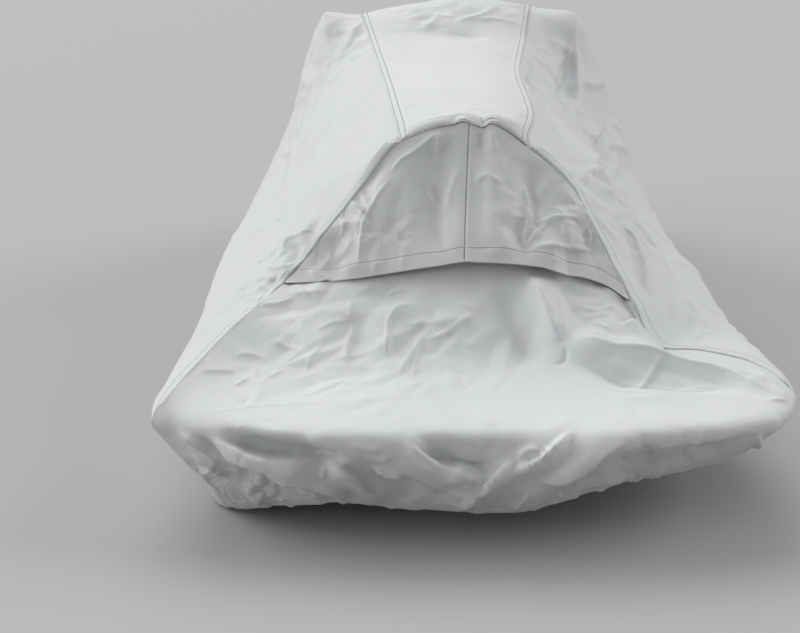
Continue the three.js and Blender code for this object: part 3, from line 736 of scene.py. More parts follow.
def places(columns):
    return np.stack([columns[axis] for axis in "xyz"], -1)


def unit(vectors):
    return vectors / np.maximum(np.linalg.norm(vectors, axis=-1, keepdims=True), LEAST_LENGTH)


def smoothstep(value, low, high):
    share = np.clip((value - low) / (high - low), 0, 1)
    return share * share * (3 - 2 * share)


def lengths_along(points, axis):
    """Distance of each grid point from the first one along an axis of the grid."""
    steps = np.linalg.norm(np.diff(points, axis=axis), axis=-1)
    first = np.zeros_like(np.take(steps, [0], axis=axis))
    return np.concatenate([first, np.cumsum(steps, axis=axis)], axis=axis)


def dense_columns(section):
    """Closely spaced points of sections from the seam over the rounded edge to the hem."""
    seam, edge, hem = (spot(section, name) for name in ("seam", "edge", "hem"))
    slope_steps, corner_steps, skirt_steps = DENSE_STEPS
    reach = np.linalg.norm((edge - seam)[:, :2], axis=1)
    rounding = np.minimum(section.get("rounding", EDGE_ROUNDING), MOST_ROUNDING * reach)
    before = 1 - rounding / reach
    after = rounding / np.linalg.norm(edge - hem, axis=1)
    outward = unit((edge - hem) * (1, 1, 0))

    def slope_at(shares):
        at = seam[:, None] + shares[..., None] * (edge - seam)[:, None]
        for i, share in enumerate(section["share"]):
            knots = (0, share, (1 + share) / 2, 1)
            heights = (seam[i, 2], section["shoulderZ"][i], section["hollowZ"][i], edge[i, 2])
            at[i, :, 2] = monotone(knots, heights)(shares[i])
        return at

    def skirt_at(shares):
        at = edge[:, None] + shares[..., None] * (hem - edge)[:, None]
        return at + outward[:, None] * (SKIRT_BELLY * np.sin(np.pi * shares))[..., None]

    slope = slope_at(before[:, None] * np.linspace(0, 1, slope_steps))
    skirt = skirt_at(after[:, None] + (1 - after[:, None]) * np.linspace(0, 1, skirt_steps))
    t = np.linspace(0, 1, corner_steps)[None, 1:-1, None]
    corner = (1 - t) ** 2 * slope[:, -1:] + 2 * t * (1 - t) * edge[:, None] + t * t * skirt[:, :1]
    turned = np.concatenate([np.zeros(slope_steps), t.ravel(), np.ones(skirt_steps)])
    return np.concatenate([slope, corner, skirt], 1), turned


def spots_along(length, between):
    """Distances along columns: close spots at the sewn start and at the hem, even steps between."""
    start, end = np.array(SEAM_SPOTS), np.array(HEM_SPOTS)
    shares = np.linspace(0, 1, between + 1)[1:-1]
    scale = np.minimum(1, MOST_SPOTS * length / (start[-1] + end[0]))[:, None]
    near, far = start[None] * scale, length[:, None] - end[None] * scale
    middle = near[:, -1:] + shares[None] * (far[:, :1] - near[:, -1:])
    return np.concatenate([near, middle, far], 1)


def section_grid(section, steps):
    """Grid of sections, with how far each point is turned down, from 0 to 1."""
    points, turned = dense_columns(section)
    along = lengths_along(points, 1)
    spots = spots_along(along[:, -1], steps)
    out, kept = np.empty(spots.shape + (3,)), np.empty(spots.shape)
    for i, (row, marks) in enumerate(zip(along, spots)):
        for axis in range(3):
            out[i, :, axis] = np.interp(marks, row, points[i, :, axis])
        kept[i] = np.interp(marks, row, turned)
    return out, kept


def row_numbers(rows, spacing, closeness=1.0):
    """Row numbers between the first and the last row, about a spacing apart on seam and edge."""
    numbers = []
    for i, (here, there) in enumerate(zip(rows, rows[1:])):
        gap = max(math.dist(spot(here, name), spot(there, name)) for name in ("seam", "edge"))
        steps = 2 * math.ceil(gap / spacing / 2)
        power = closeness if i == 0 else 1.0
        numbers.append(i + (np.arange(steps) / steps) ** power)
    return np.concatenate(numbers + [[len(rows) - 1.0]])


# Row numbers of both sides; the flanks share theirs, so that the top panel joins them row by row.
flank_rows = [LEFT_QUARTER[-1], *LEFT_FLANK]
flank_numbers = np.concatenate([
    row_numbers(flank_rows[: BARS_ROW + 2], BACK_SPACING, ARCH_CLOSENESS)[:-1],
    BARS_ROW + 1 + row_numbers(flank_rows[BARS_ROW + 1:], BOW_SPACING),
])


def seam_rows(quarter):
    return [{axis: row["seam" + axis.upper()] for axis in "xyz"} for row in quarter]


arch_rows = [*seam_rows(LEFT_QUARTER), *ARCH_CREST, *seam_rows(RIGHT_QUARTER)[::-1]]
arch_run = run(arch_rows, "x", "z")
ARCH_LEFT = len(LEFT_QUARTER) - 1
ARCH_RIGHT = len(arch_rows) - len(RIGHT_QUARTER)


def side(quarter, flank, arch_number):
    """Grid of a side panel, its count of quarter rows and its quarter's row numbers."""
    numbers = row_numbers(quarter, BACK_SPACING)
    section_run = run([*quarter, *flank], "edgeX", "edgeY")
    section = section_run(np.concatenate([numbers[:-1], len(quarter) - 1 + flank_numbers]))
    leg = places(arch_run(arch_number(numbers)))
    for i, axis in enumerate("XYZ"):
        section["seam" + axis][:len(leg)] = leg[:, i]
    points, turned = section_grid(section, SIDE_STEPS)
    return {"points": points, "skirt": turned, "junction": len(numbers) - 1, "numbers": numbers}


left_side = side(LEFT_QUARTER, LEFT_FLANK, lambda numbers: numbers)
right_side = side(RIGHT_QUARTER, RIGHT_FLANK, lambda numbers: len(arch_rows) - 1 - numbers)


def seam_of(one_side):
    return one_side["points"][:, 0]


def top_grid():
    """The top panel spans from seam to seam, and at the bow from one side panel's end to the other's."""
    left = seam_of(left_side)[left_side["junction"]:]
    right = seam_of(right_side)[right_side["junction"]:]
    swell_rows = [dict(row, number=i, zero=0) for i, row in enumerate(TOP_SWELL)]
    swells = run(swell_rows, "number", "zero")(flank_numbers)
    turn = np.clip(lengths_along(left_side["points"][-1:], 1)[0, 1:] / EDGE_ROUNDING, 0, 1)
    last = TOP_SWELL[-1]
    left = np.concatenate([left, left_side["points"][-1, 1:]])
    right = np.concatenate([right, right_side["points"][-1, 1:]])
    ends = {
        "across": np.zeros(len(turn)),
        "forward": last["forward"] + (BOW_FORWARD - last["forward"]) * turn,
        "up": last["up"] * (1 - turn),
    }
    width = np.linalg.norm(right - left, axis=1).mean()
    half = np.array(SEAM_SPOTS)
    middle = max(2, 2 * round((width - 2 * half[-1]) / TOP_SPACING / 2))
    shares = np.linspace(half[-1] / width, 1 - half[-1] / width, middle + 1)
    shares = np.concatenate([half[:-1] / width, shares, 1 - half[-2::-1] / width])
    rise = 4 * shares * (1 - shares)
    points = left[:, None] + shares[None, :, None] * (right - left)[:, None]
    for axis, (name, end) in enumerate(ends.items()):
        points[..., axis] += np.concatenate([swells[name], end])[:, None] * rise[None]
    fine = np.linspace(ARCH_LEFT, ARCH_RIGHT, CREST_STEPS)
    crest_numbers = np.interp(points[0, :, 0], places(arch_run(fine))[:, 0], fine)
    lift = places(arch_run(crest_numbers)) - points[0]
    fade = 1 - smoothstep(lengths_along(points, 0), 0, CREST_REACH)
    points += lift[None] * fade[..., None]
    skirt = np.concatenate([np.zeros(len(flank_numbers)), left_side["skirt"][-1, 1:]])
    return points, np.repeat(skirt[:, None], len(shares), 1)


def away_from(points, sides):
    """Distance of each point from the nearest of the named sides of its grid."""
    ends = {
        "firstRow": points[:1], "lastRow": points[-1:],
        "firstPoint": points[:, :1], "lastPoint": points[:, -1:],
    }
    return np.min([np.linalg.norm(points - ends[name], axis=-1) for name in sides], axis=0)


def rear_grid():
    """The rear panel follows each arch leg up to the flap's hem, then runs on unseen behind the flap."""
    left_count = np.count_nonzero(left_side["numbers"] <= FLAP_LEFT_ROW)
    right_count = np.count_nonzero(right_side["numbers"] <= FLAP_RIGHT_ROW)
    hidden_steps = round((HIDDEN_EDGE[-1]["x"] - HIDDEN_EDGE[0]["x"]) / REAR_SPACING)
    hidden_share = np.linspace(0, 1, hidden_steps + 1)
    inner = np.concatenate([
        seam_of(left_side)[:left_count],
        places(run(HIDDEN_EDGE, "x", "y")(hidden_share * (len(HIDDEN_EDGE) - 1))),
        seam_of(right_side)[:right_count][::-1],
    ])
    shares = np.concatenate([
        STERN_LEFT_SHARE * np.arange(left_count) / left_count,
        STERN_LEFT_SHARE + (STERN_RIGHT_SHARE - STERN_LEFT_SHARE) * hidden_share,
        STERN_RIGHT_SHARE + (1 - STERN_RIGHT_SHARE) * np.arange(1, right_count + 1) / right_count,
    ])
    section = run(STERN, "edgeX", "edgeY")(shares * (len(STERN) - 1))
    section.update({"seam" + axis: inner[:, i] for i, axis in enumerate("XYZ")})
    middle = smoothstep(shares, 0, STERN_CORNER) * (1 - smoothstep(shares, *STERN_HARD))
    section["rounding"] = EDGE_ROUNDING + (STERN_ROUNDING - EDGE_ROUNDING) * middle
    points, turned = section_grid(section, REAR_STEPS)
    away = away_from(points, ("firstRow", "lastRow", "firstPoint"))
    free = smoothstep(away, 0, REAR_EASE)[1:-1, :, None]
    for _ in range(REAR_EASINGS):
        even = (points[:-2] + 2 * points[1:-1] + points[2:]) / 4
        points[1:-1] += free * (even - points[1:-1])
    return points, turned


def flap_grid(one_side, leave_row, top_edge, hem_rows):
    """A flap half hangs from the arch: the leg above the flap's hem, then half the top panel's edge."""
    leave = np.count_nonzero(one_side["numbers"] <= leave_row)
    arch = np.concatenate([seam_of(one_side)[leave:one_side["junction"]], top_edge])
    share = (arch[:, 0] - arch[0, 0]) / (arch[-1, 0] - arch[0, 0])
    hem = places(run(hem_rows, "x", "y")(share * (len(hem_rows) - 1)))
    drop = np.linalg.norm(hem - arch, axis=1)
    marks = spots_along(drop, FLAP_STEPS) / drop[:, None]
    points = arch[:, None] + marks[..., None] * (hem - arch)[:, None]
    points[..., 1] += FLAP_HOLLOW * share[:, None] * np.sin(np.pi * marks)
    return points, np.ones(marks.shape)


top_points, top_skirt = top_grid()
half_top = top_points.shape[1] // 2
left_crest, right_crest = top_points[0, : half_top + 1], top_points[0, half_top:][::-1]
GRIDS = {
    "top_panel": (top_points, top_skirt),
    "side_panel_left": (left_side["points"], left_side["skirt"]),
    "side_panel_right": (right_side["points"], right_side["skirt"]),
    "rear_panel": rear_grid(),
    "vent_flap_left": flap_grid(left_side, FLAP_LEFT_ROW, left_crest, FLAP_LEFT_HEM),
    "vent_flap_right": flap_grid(right_side, FLAP_RIGHT_ROW, right_crest, FLAP_RIGHT_HEM),
}
# Sides at which each panel is sewn.
SEWN = dict.fromkeys(GRIDS, ("firstRow", "lastRow", "firstPoint"))
SEWN["top_panel"] = ("firstRow", "firstPoint", "lastPoint")


def cell_crosses(points):
    """Cross product of the diagonals of each cell of a grid."""
    return np.cross(points[1:, 1:] - points[:-1, :-1], points[:-1, 1:] - points[1:, :-1])


def grid_normals(points, facing):
    """Unit normals of a grid, each from the cells around it, pointing out of the cover."""
    cells = cell_crosses(points) * facing
    total = np.zeros_like(points)
    for i, j in ((0, 0), (0, 1), (1, 0), (1, 1)):
        total[i:len(points) - 1 + i, j:points.shape[1] - 1 + j] += cells
    return unit(total)


def facing_of(points):
    middle = points.shape[0] // 2, points.shape[1] // 2
    outside = points[middle] - (0, points[middle][1] + FLAP_HOLLOW, 0)
    return 1 if grid_normals(points, 1)[middle] @ outside > 0 else -1


def chart_of(chart, points, skirt):
    """The two axes of a chart and how far it holds at each point."""
    x, y, z = np.moveaxis(points, -1, 0)
    above, hanging = 1 - skirt, smoothstep(skirt, 0, EDGE_SHARE)
    charts = {
        "plan": (x, y, above), "flank": (y, z, above),
        "stern": (x, z, hanging), "side": (y, z, hanging),
    }
    return charts[chart]


def line_place(line, a, b):
    """Signed distance from a line, left positive, and the share of the way along it."""
    away = np.full(a.shape, np.inf)
    sign = np.ones(a.shape)
    share = np.zeros(a.shape)
    legs = len(line) - 1
    for leg, (start, end) in enumerate(zip(line, line[1:])):
        da, db = end - start
        t = np.clip(((a - start[0]) * da + (b - start[1]) * db) / (da * da + db * db), 0, 1)
        oa, ob = a - start[0] - t * da, b - start[1] - t * db
        distance = np.hypot(oa, ob)
        nearer = distance < away
        away = np.where(nearer, distance, away)
        sign = np.where(nearer, np.sign(da * ob - db * oa), sign)
        share = np.where(nearer, (leg + t) / legs, share)
    return away * sign, share


def bowed(line):
    """A smooth line through points."""
    line = np.asarray(line, float)
    along = np.concatenate([[0], np.cumsum(np.linalg.norm(np.diff(line, axis=0), axis=1))])
    slopes = np.gradient(line, along, axis=0)
    marks = np.linspace(0, along[-1], LINE_STEPS + 1)
    i = np.clip(np.searchsorted(along, marks, side="right") - 1, 0, len(along) - 2)
    step = np.diff(along)[i][:, None]
    t = ((marks - along[i])[:, None]) / step
    drawn = line[i] + t * t * (3 - 2 * t) * (line[i + 1] - line[i])
    return drawn + step * (t * (1 - t) ** 2 * slopes[i] + t * t * (t - 1) * slopes[i + 1])


def crest(place, hollow=CREST_HOLLOW):
    """Height of a crease's crest over the share of its reach, 1 on the line and 0 at the reach."""
    tip = math.sqrt(1 + CREST_ROUNDING ** 2)
    fall = (np.sqrt(place ** 2 + CREST_ROUNDING ** 2) - CREST_ROUNDING) / (tip - CREST_ROUNDING)
    return np.clip(1 - fall, 0, 1) ** hollow


def wide_crest(place):
    return crest(place, WIDE_HOLLOW)


def swell(place):
    """Height of a soft fold over the share of its reach."""
    return np.clip(1 - place ** 2, 0, 1) ** 2


def ridge(lift, a, b, line, left, right, height, profile=crest, taper=CREASE_TAPER):
    """Add a crest along a line in the chart a, b."""
    reach = max(left, right)
    low, high = line.min(0) - reach, line.max(0) + reach
    near = (a > low[0]) & (a < high[0]) & (b > low[1]) & (b < high[1])
    if near.any():
        away, share = line_place(line, a[near], b[near])
        across = profile(np.abs(away) / np.where(away > 0, left, right))
        lift[near] += height * across * smoothstep(np.minimum(share, 1 - share), 0, taper)


def fold_shape(row):
    """How far a main fold is calmed, and its ridge."""
    line, width = np.array(row["line"], float), row["width"]
    return FOLD_CALM, (line, width, width, row["height"], swell, FOLD_TAPER)


def crease_shape(row):
    """How far a crease is calmed, which grows with its height, and its ridge."""
    left, right, height = row["left"], row["right"], row["height"]
    calm, line = max(LEAST_CALM, CREASE_CALM * abs(height)), bowed(row["line"])
    if max(left, right) >= WIDE_CREASE:
        return calm, (line, left, right, height, wide_crest)
    return calm, (line, CREASE_REACH * left, CREASE_REACH * right, CREASE_SOFTNESS * height)


def pinch_shape(row):
    """The sharp crest along a crease, where the cloth was once folded."""
    on_skirt = (row["panel"], row["chart"]) == ("rear_panel", "stern")
    most = PINCH_MOST * (SKIRT_PINCH if on_skirt else 1)
    height = np.clip(PINCH_SHARE * row["height"], -most, most)
    left, right = min(PINCH_REACH, row["left"]), min(PINCH_REACH, row["right"])
    return LEAST_CALM, (bowed(row["line"]), left, right, height)


def line_lift(rows, shape_of, points, skirt, away):
    """Rise of folds or creases, each calmed towards the sewn sides."""
    lift = np.zeros(skirt.shape)
    for row in rows:
        a, b, weight = chart_of(row["chart"], points, skirt)
        calm, shape = shape_of(row)
        part = np.zeros(skirt.shape)
        ridge(part, a, b, *shape)
        lift += part * weight * smoothstep(away, 0, calm)
    return lift


def peak_lift(points):
    lift = np.zeros(points.shape[:-1])
    for peak in PEAKS:
        away = np.hypot(points[..., 0] - peak["x"], points[..., 1] - peak["y"]) / peak["radius"]
        lift += peak["height"] * np.clip(1 - away, 0, 1) ** 2
    return lift


def wander(place, length, seed):
    """Smooth seeded noise between -1 and 1 that changes over a length."""
    knots = np.arange(math.floor(place.min() / length) - 1, math.ceil(place.max() / length) + 2)
    values = np.random.default_rng(seed).uniform(-1, 1, len(knots))
    step = np.floor(place / length).astype(int) - int(knots[0])
    share = smoothstep(place / length - np.floor(place / length), 0, 1)
    return values[step] * (1 - share) + values[step + 1] * share


def from_side(points, side_name):
    """Distance of each point from a side of its grid, along the grid."""
    axis = 0 if side_name.endswith("Row") else 1
    if side_name.startswith("last"):
        return np.flip(lengths_along(np.flip(points, axis), axis), axis)
    return lengths_along(points, axis)


def side_line(points, side_name):
    """Distance along the nearest point of a side."""
    axis = 0 if side_name.endswith("Row") else 1
    edge = np.take(points, [-1 if side_name.startswith("last") else 0], axis=axis)
    return np.broadcast_to(lengths_along(edge, 1 - axis), points.shape[:2])


def span_of(name, band, points):
    """How far each row lies within the span of a band."""
    if band["span"] == "all":
        return np.ones(points.shape[:2])
    rows = len(flank_numbers)
    if band["span"] == "quarter":
        rows = (left_side if name == "side_panel_left" else right_side)["junction"] + 1
    within = np.clip((rows + 1 - np.arange(len(points))) / BAND_FADE_ROWS, 0, 1)
    return np.repeat(within[:, None], points.shape[1], 1)


def trim_lift(name, points):
    """Rise of the felled bands and hems, with the grooves of their stitches, and the sunk sides."""
    lift, groove = np.zeros(points.shape[:2]), np.zeros(points.shape[:2])
    for number, band in enumerate(of_panel(BANDS, name)):
        away, along = from_side(points, band["side"]), side_line(points, band["side"])
        inside = 1 - smoothstep(away, band["width"] - BAND_EDGE, band["width"] + BAND_EDGE / 2)
        pucker = BAND_PUCKER * wander(along, PUCKER_LENGTH, number) * band["height"]
        span = span_of(name, band, points)
        lift = np.maximum(lift, (band["height"] + pucker) * inside * span)
        for line in band["lines"]:
            dent = GROOVE_DEPTH * np.exp(-((away - line) / GROOVE_WIDTH) ** 2)
            groove = np.maximum(groove, dent * span)
    lift -= groove
    hanging = GRIDS[name][1] if name == "rear_panel" else 0
    for side_name in SUNK[name]:
        lift -= SEAM_SINK * (1 - smoothstep(from_side(points, side_name), 0, SINK_REACH)) * (1 - hanging)
    return lift


def roll_lift(name, points):
    """The padded roll of cloth behind the crest of the arch, which turns the felled band to the stern."""
    if name == "top_panel":
        away = from_side(points, "firstRow")
        much = smoothstep(away_from(points, ("firstPoint", "lastPoint")), 0, ROLL_CORNER)
    elif name in ("side_panel_left", "side_panel_right"):
        away = from_side(points, "firstPoint")
        seam = points[:, :1]
        much = smoothstep(seam[..., 2], *ROLL_RISE) * (1 - smoothstep(seam[..., 1], *ROLL_END))
    else:
        return np.zeros(points.shape[:2])
    rise = smoothstep(away, -ROLL_CREST, ROLL_CREST) * 2 - 1
    return ROLL_HEIGHT * much * np.clip(rise, 0, 1) * (1 - smoothstep(away, ROLL_CREST, ROLL_REACH))


def gather_lift(name, points):
    """Uneven gathers along a hem; each runs up from below the hem and leans to one side."""
    lift = np.zeros(points.shape[:2])
    away, along = from_side(points, "lastPoint"), side_line(points, "lastPoint")
    for row in of_panel(GATHERS, name):
        rng = np.random.default_rng(row["seed"])
        place = row["from"]
        while place < min(row["to"], along.max()):
            place += row["spacing"] * rng.uniform(*GATHER_SPREAD["spacing"])
            length = row["length"] * rng.uniform(*GATHER_SPREAD["length"])
            lean = length * rng.uniform(*GATHER_SPREAD["lean"])
            bend = lean * rng.uniform(*GATHER_SPREAD["bend"])
            line = bowed(((place, -length), (place + bend, GATHER_KNEE * length), (place + lean, length)))
            left, right = row["width"] * rng.uniform(*GATHER_SPREAD["width"], 2)
            height = row["height"] * rng.uniform(*GATHER_SPREAD["height"])
            ridge(lift, along, away, line, left, right, height, swell)
    return lift


def from_patch(points, row):
    """Distance from the centre of a patch, as a share of its radius."""
    return np.linalg.norm(points - row["centre"], axis=-1) / row["radius"]


def crumple_lift(name, points, normals):
    """Small seeded crumples, straight crests that lie on the cloth around a point."""
    lift = np.zeros(points.shape[:2])
    area = np.linalg.norm(cell_crosses(points), axis=-1)
    for row in of_panel(CRUMPLES, name):
        rng = np.random.default_rng(row["seed"])
        away = from_patch(points[:-1, :-1], row)
        share = np.cumsum((area * np.clip(CRUMPLE_EDGE - away, 0, 1)).ravel())
        for pick in rng.uniform(0, share[-1], row["count"]):
            i, j = np.unravel_index(np.searchsorted(share, pick), area.shape)
            centre, normal = points[i, j], normals[i, j]
            turn = rng.uniform(0, math.pi)
            first = unit(points[i + 1, j] - centre)
            second = np.cross(normal, first)
            ahead = math.cos(turn) * first + math.sin(turn) * second
            aside = np.cross(normal, ahead)
            length = row["length"] * rng.uniform(*CRUMPLE_SPREAD["length"])
            left, right = row["width"] * rng.uniform(*CRUMPLE_SPREAD["width"], 2)
            near = np.abs(points - centre).max(-1) < length / 2 + max(left, right)
            near &= normals @ normal > SAME_FACE
            offset = points[near] - centre
            bow = length * rng.uniform(*CRUMPLE_SPREAD["bow"])
            line = bowed(((-length / 2, 0), (0, bow), (length / 2, 0)))
            height = row["height"] * rng.uniform(*CRUMPLE_SPREAD["height"])
            part = np.zeros(len(offset))
            ridge(part, offset @ ahead, offset @ aside, line, left, right, height)
            lift[near] += part * rng.choice(CRUMPLE_SIGNS)
    return lift


def facet_lift(name, points, skirt):
    """Flat facets around seeded spots: each rises or sinks from its edges, where the fine creases are."""
    lift = np.zeros(points.shape[:2])
    area = np.zeros(points.shape[:2])
    area[:-1, :-1] = np.linalg.norm(cell_crosses(points), axis=-1)
    for row in of_panel(FACETS, name):
        rng = np.random.default_rng(row["seed"])
        away = from_patch(points, row)
        near = away < FACET_FADE[1]
        spots = points[near]
        longer = unit(rng.normal(size=3))
        spots = spots - np.outer(spots @ longer, longer) * FACET_STRETCH
        spots = spots + FACET_BOW * np.sin(spots[:, (1, 2, 0)] / FACET_BOW_LENGTH)
        share = np.cumsum(area[near])
        seeds = spots[np.searchsorted(share, rng.uniform(0, share[-1], row["count"]))]
        rise = rng.uniform(-1, 1, row["count"]) * row["steep"]
        gaps = np.linalg.norm(spots[:, None] - seeds[None], axis=-1)
        nearest = np.argsort(gaps, axis=1)[:, :FACET_SIDES + 1]
        first, others = nearest[:, :1], nearest[:, 1:]
        spans = np.maximum(np.linalg.norm(seeds[others] - seeds[first], axis=-1), TINY)
        squares = np.take_along_axis(gaps, others, 1) ** 2 - np.take_along_axis(gaps, first, 1) ** 2
        inside = (squares / (2 * spans)).min(1)
        weight = (1 - smoothstep(away, *FACET_FADE)) * (skirt if row["hangs"] else 1)
        lift[near] += weight[near] * rise[first[:, 0]] * inside
    return lift * smoothstep(from_side(points, "lastPoint"), *FACET_HEM)


def crumpled(name, points):
    """How crumpled a panel's cloth is, from 0 to 1."""
    much = np.full(points.shape[:2], CRUMPLE_LEAST)
    for row in of_panel(CRUMPLES, name):
        much = np.maximum(much, 1 - smoothstep(from_patch(points, row), *CRUMPLE_FADE))
    return much


def eased(values, times):
    """Values of a grid, each moved towards the mean of its neighbours a number of times."""
    for _ in range(times):
        for axis in (0, 1):
            wide = np.pad(values, [(1, 1) if i == axis else (0, 0) for i in (0, 1)], mode="edge")
            before, after = (np.take(wide, np.arange(values.shape[axis]) + k, axis) for k in (0, 2))
            values = (before + 2 * values + after) / 4
    return values


def pairs(rows, across):
    """Neighbours of a grid along, across and over both corners, in sets that share no point."""
    for down, right in ((1, 0), (0, 1), (1, 1), (1, -1)):
        for odd in (0, 1):
            first, second = [slice(None), slice(None)], [slice(None), slice(None)]
            axis, length = (0, rows) if down else (1, across)
            first[axis], second[axis] = slice(odd, length - 1, 2), slice(odd + 1, length, 2)
            if down and right:
                first[1], second[1] = slice(0, -1), slice(1, None)
                if right < 0:
                    first[1], second[1] = second[1], first[1]
            yield tuple(first), tuple(second)


def even_lines(points, axis):
    """Lines of a grid that lie about evenly apart, and the distance of every line from the first."""
    gaps = np.linalg.norm(np.diff(points, axis=axis), axis=-1).mean(1 - axis)
    kept, since = [0], 0.0
    for i, gap in enumerate(gaps):
        since += gap
        if since >= SETTLE_EVENNESS * np.median(gaps) or i == len(gaps) - 1:
            kept.append(i + 1)
            since = 0.0
    return np.array(kept), np.concatenate([[0], np.cumsum(gaps)])


def between(values, kept, place):
    """Values at kept lines, drawn straight between them for every line."""
    after = np.clip(np.searchsorted(place[kept], place, side="right"), 1, len(kept) - 1)
    low, high = place[kept][after - 1], place[kept][after]
    share = ((place - low) / (high - low)).reshape(-1, *[1] * (values.ndim - 1))
    return values[after - 1] * (1 - share) + values[after] * share


def settle(shape, base, slack, free, bendy, push):
    """Settle the cloth on evenly spaced lines and carry the other lines along."""
    rows, row_place = even_lines(base, 0)
    across, across_place = even_lines(base, 1)
    pick = np.ix_(rows, across)
    given = [values[pick] for values in (shape, base, slack, free, bendy, push)]
    moved = settled(*given) - shape[pick]
    even = np.stack([eased(moved[..., axis], SETTLE_EVENINGS) for axis in range(3)], -1)
    moved += free[pick][..., None] * (even - moved)
    moved = between(moved, rows, row_place)
    moved = np.moveaxis(between(np.moveaxis(moved, 1, 0), across, across_place), 0, 1)
    return shape + moved


def settled(shape, base, slack, free, bendy, push):
    """The shape with the cloth's lengths evened out, so that it lies in flat facets between creases."""
    moved = shape.astype(np.float32)
    shape, free = moved.copy(), free[..., None].astype(np.float32)
    bendy, push = bendy[..., None], push[..., None]
    ties = []
    for first, second in pairs(*shape.shape[:2]):
        flat = np.linalg.norm(base[second] - base[first], axis=-1)
        drawn = np.linalg.norm(shape[second] - shape[first], axis=-1)
        rest = flat * eased(drawn / flat, SETTLE_SPREAD) * (1 + slack[first])
        total = np.maximum(free[first] + free[second], TINY)
        shares = free[first] / total, free[second] / total
        ties.append((first, second, rest[..., None].astype(np.float32), *shares))
    lines = []
    for axis in (0, 1):
        gap = np.linalg.norm(np.diff(base, axis=axis), axis=-1).astype(np.float32)
        before = np.take(gap, range(gap.shape[axis] - 1), axis)
        after = np.take(gap, range(1, gap.shape[axis]), axis)
        ahead = (slice(None),) * axis
        cuts = (ahead + (cut,) for cut in (slice(None, -2), slice(1, -1), slice(2, None)))
        lines.append(((after / (before + after))[..., None], *cuts))
    for bend in np.geomspace(*SETTLE_BENDS, SETTLE_STEPS):
        moved += SETTLE_PULL * free * (shape - moved)
        for weight, low, here, high in lines:
            line = weight * moved[low] + (1 - weight) * moved[high]
            moved[here] += bend * bendy[here] * (line - moved[here])
        for first, second, rest, near, far in ties:
            apart = moved[second] - moved[first]
            strain = 1 - rest / np.sqrt(np.einsum("ijk,ijk->ij", apart, apart))[..., None]
            apart *= np.where(strain > 0, strain, push[first] * strain)
            moved[first] += apart * near
            moved[second] -= apart * far
    return moved.astype(float)


def worn_of(name, points):
    """Wear from 0 to 1, along the edges of the felled bands and hems."""
    worn = np.zeros(points.shape[:2])
    for band in of_panel(BANDS, name):
        away, span = from_side(points, band["side"]), span_of(name, band, points)
        for edge in (0, band["width"]):
            worn = np.maximum(worn, span * np.exp(-((away - edge) / WEAR_REACH) ** 2))
    return worn


def soil_of(points):
    """Soil from 0 to 1, from the hem upward."""
    return 1 - smoothstep(from_side(points, "lastPoint"), 0, SOIL_REACH)


def lift_ways(name, normals, skirt):
    """The way in which folds rise: out of the cloth, and level on what hangs from the edge."""
    if name.startswith("vent"):
        return normals
    hanging = skirt[..., None]
    return unit(normals * (1 - hanging) + unit(normals * (1, 1, 0)) * hanging)


def shaped(name):
    """A panel's points with its folds, creases, peaks, gathers and bands, and the side that it shows."""
    points, skirt = GRIDS[name]
    facing = facing_of(points)
    normals = grid_normals(points, facing)
    away = away_from(points, SEWN[name])
    calm = smoothstep(away, 0, LEAST_CALM)
    creases = of_panel(CREASES, name)
    lift = line_lift(of_panel(FOLDS, name), fold_shape, points, skirt, away)
    lift += line_lift(creases, crease_shape, points, skirt, away)
    small = crumple_lift(name, points, normals)
    if name != "top_panel":
        small += gather_lift(name, points)
    lift += small * calm + roll_lift(name, points)
    out = points + lift_ways(name, normals, skirt) * lift[..., None]
    out[..., 2] += peak_lift(points)
    if name in HEM_WAVE_SEEDS:
        hem, along = from_side(points, "lastPoint"), side_line(points, "lastPoint")
        wave = HEM_WAVE * wander(along, HEM_WAVE_LENGTH, HEM_WAVE_SEEDS[name])
        wave *= 1 - smoothstep(hem, 0, HEM_WAVE_REACH)
        out[..., 2] += wave * smoothstep(away, 0, FOLD_CALM)
    free = smoothstep(away, SETTLE_FIXED, SETTLE_FREE)
    hanging = np.zeros(skirt.shape) if name.startswith("vent") else skirt
    push = np.full(skirt.shape, SETTLE_PUSH) if name == "rear_panel" else 1 - (1 - SETTLE_PUSH) * hanging
    bendy = free * (1 - SKIRT_CRISPNESS * hanging)
    out = settle(out, points, SLACK * crumpled(name, points), free, bendy, push)
    fine = line_lift(creases, pinch_shape, points, skirt, away) + facet_lift(name, points, skirt) * calm
    out += grid_normals(out, facing) * fine[..., None]
    return out + grid_normals(out, facing) * trim_lift(name, out)[..., None], facing


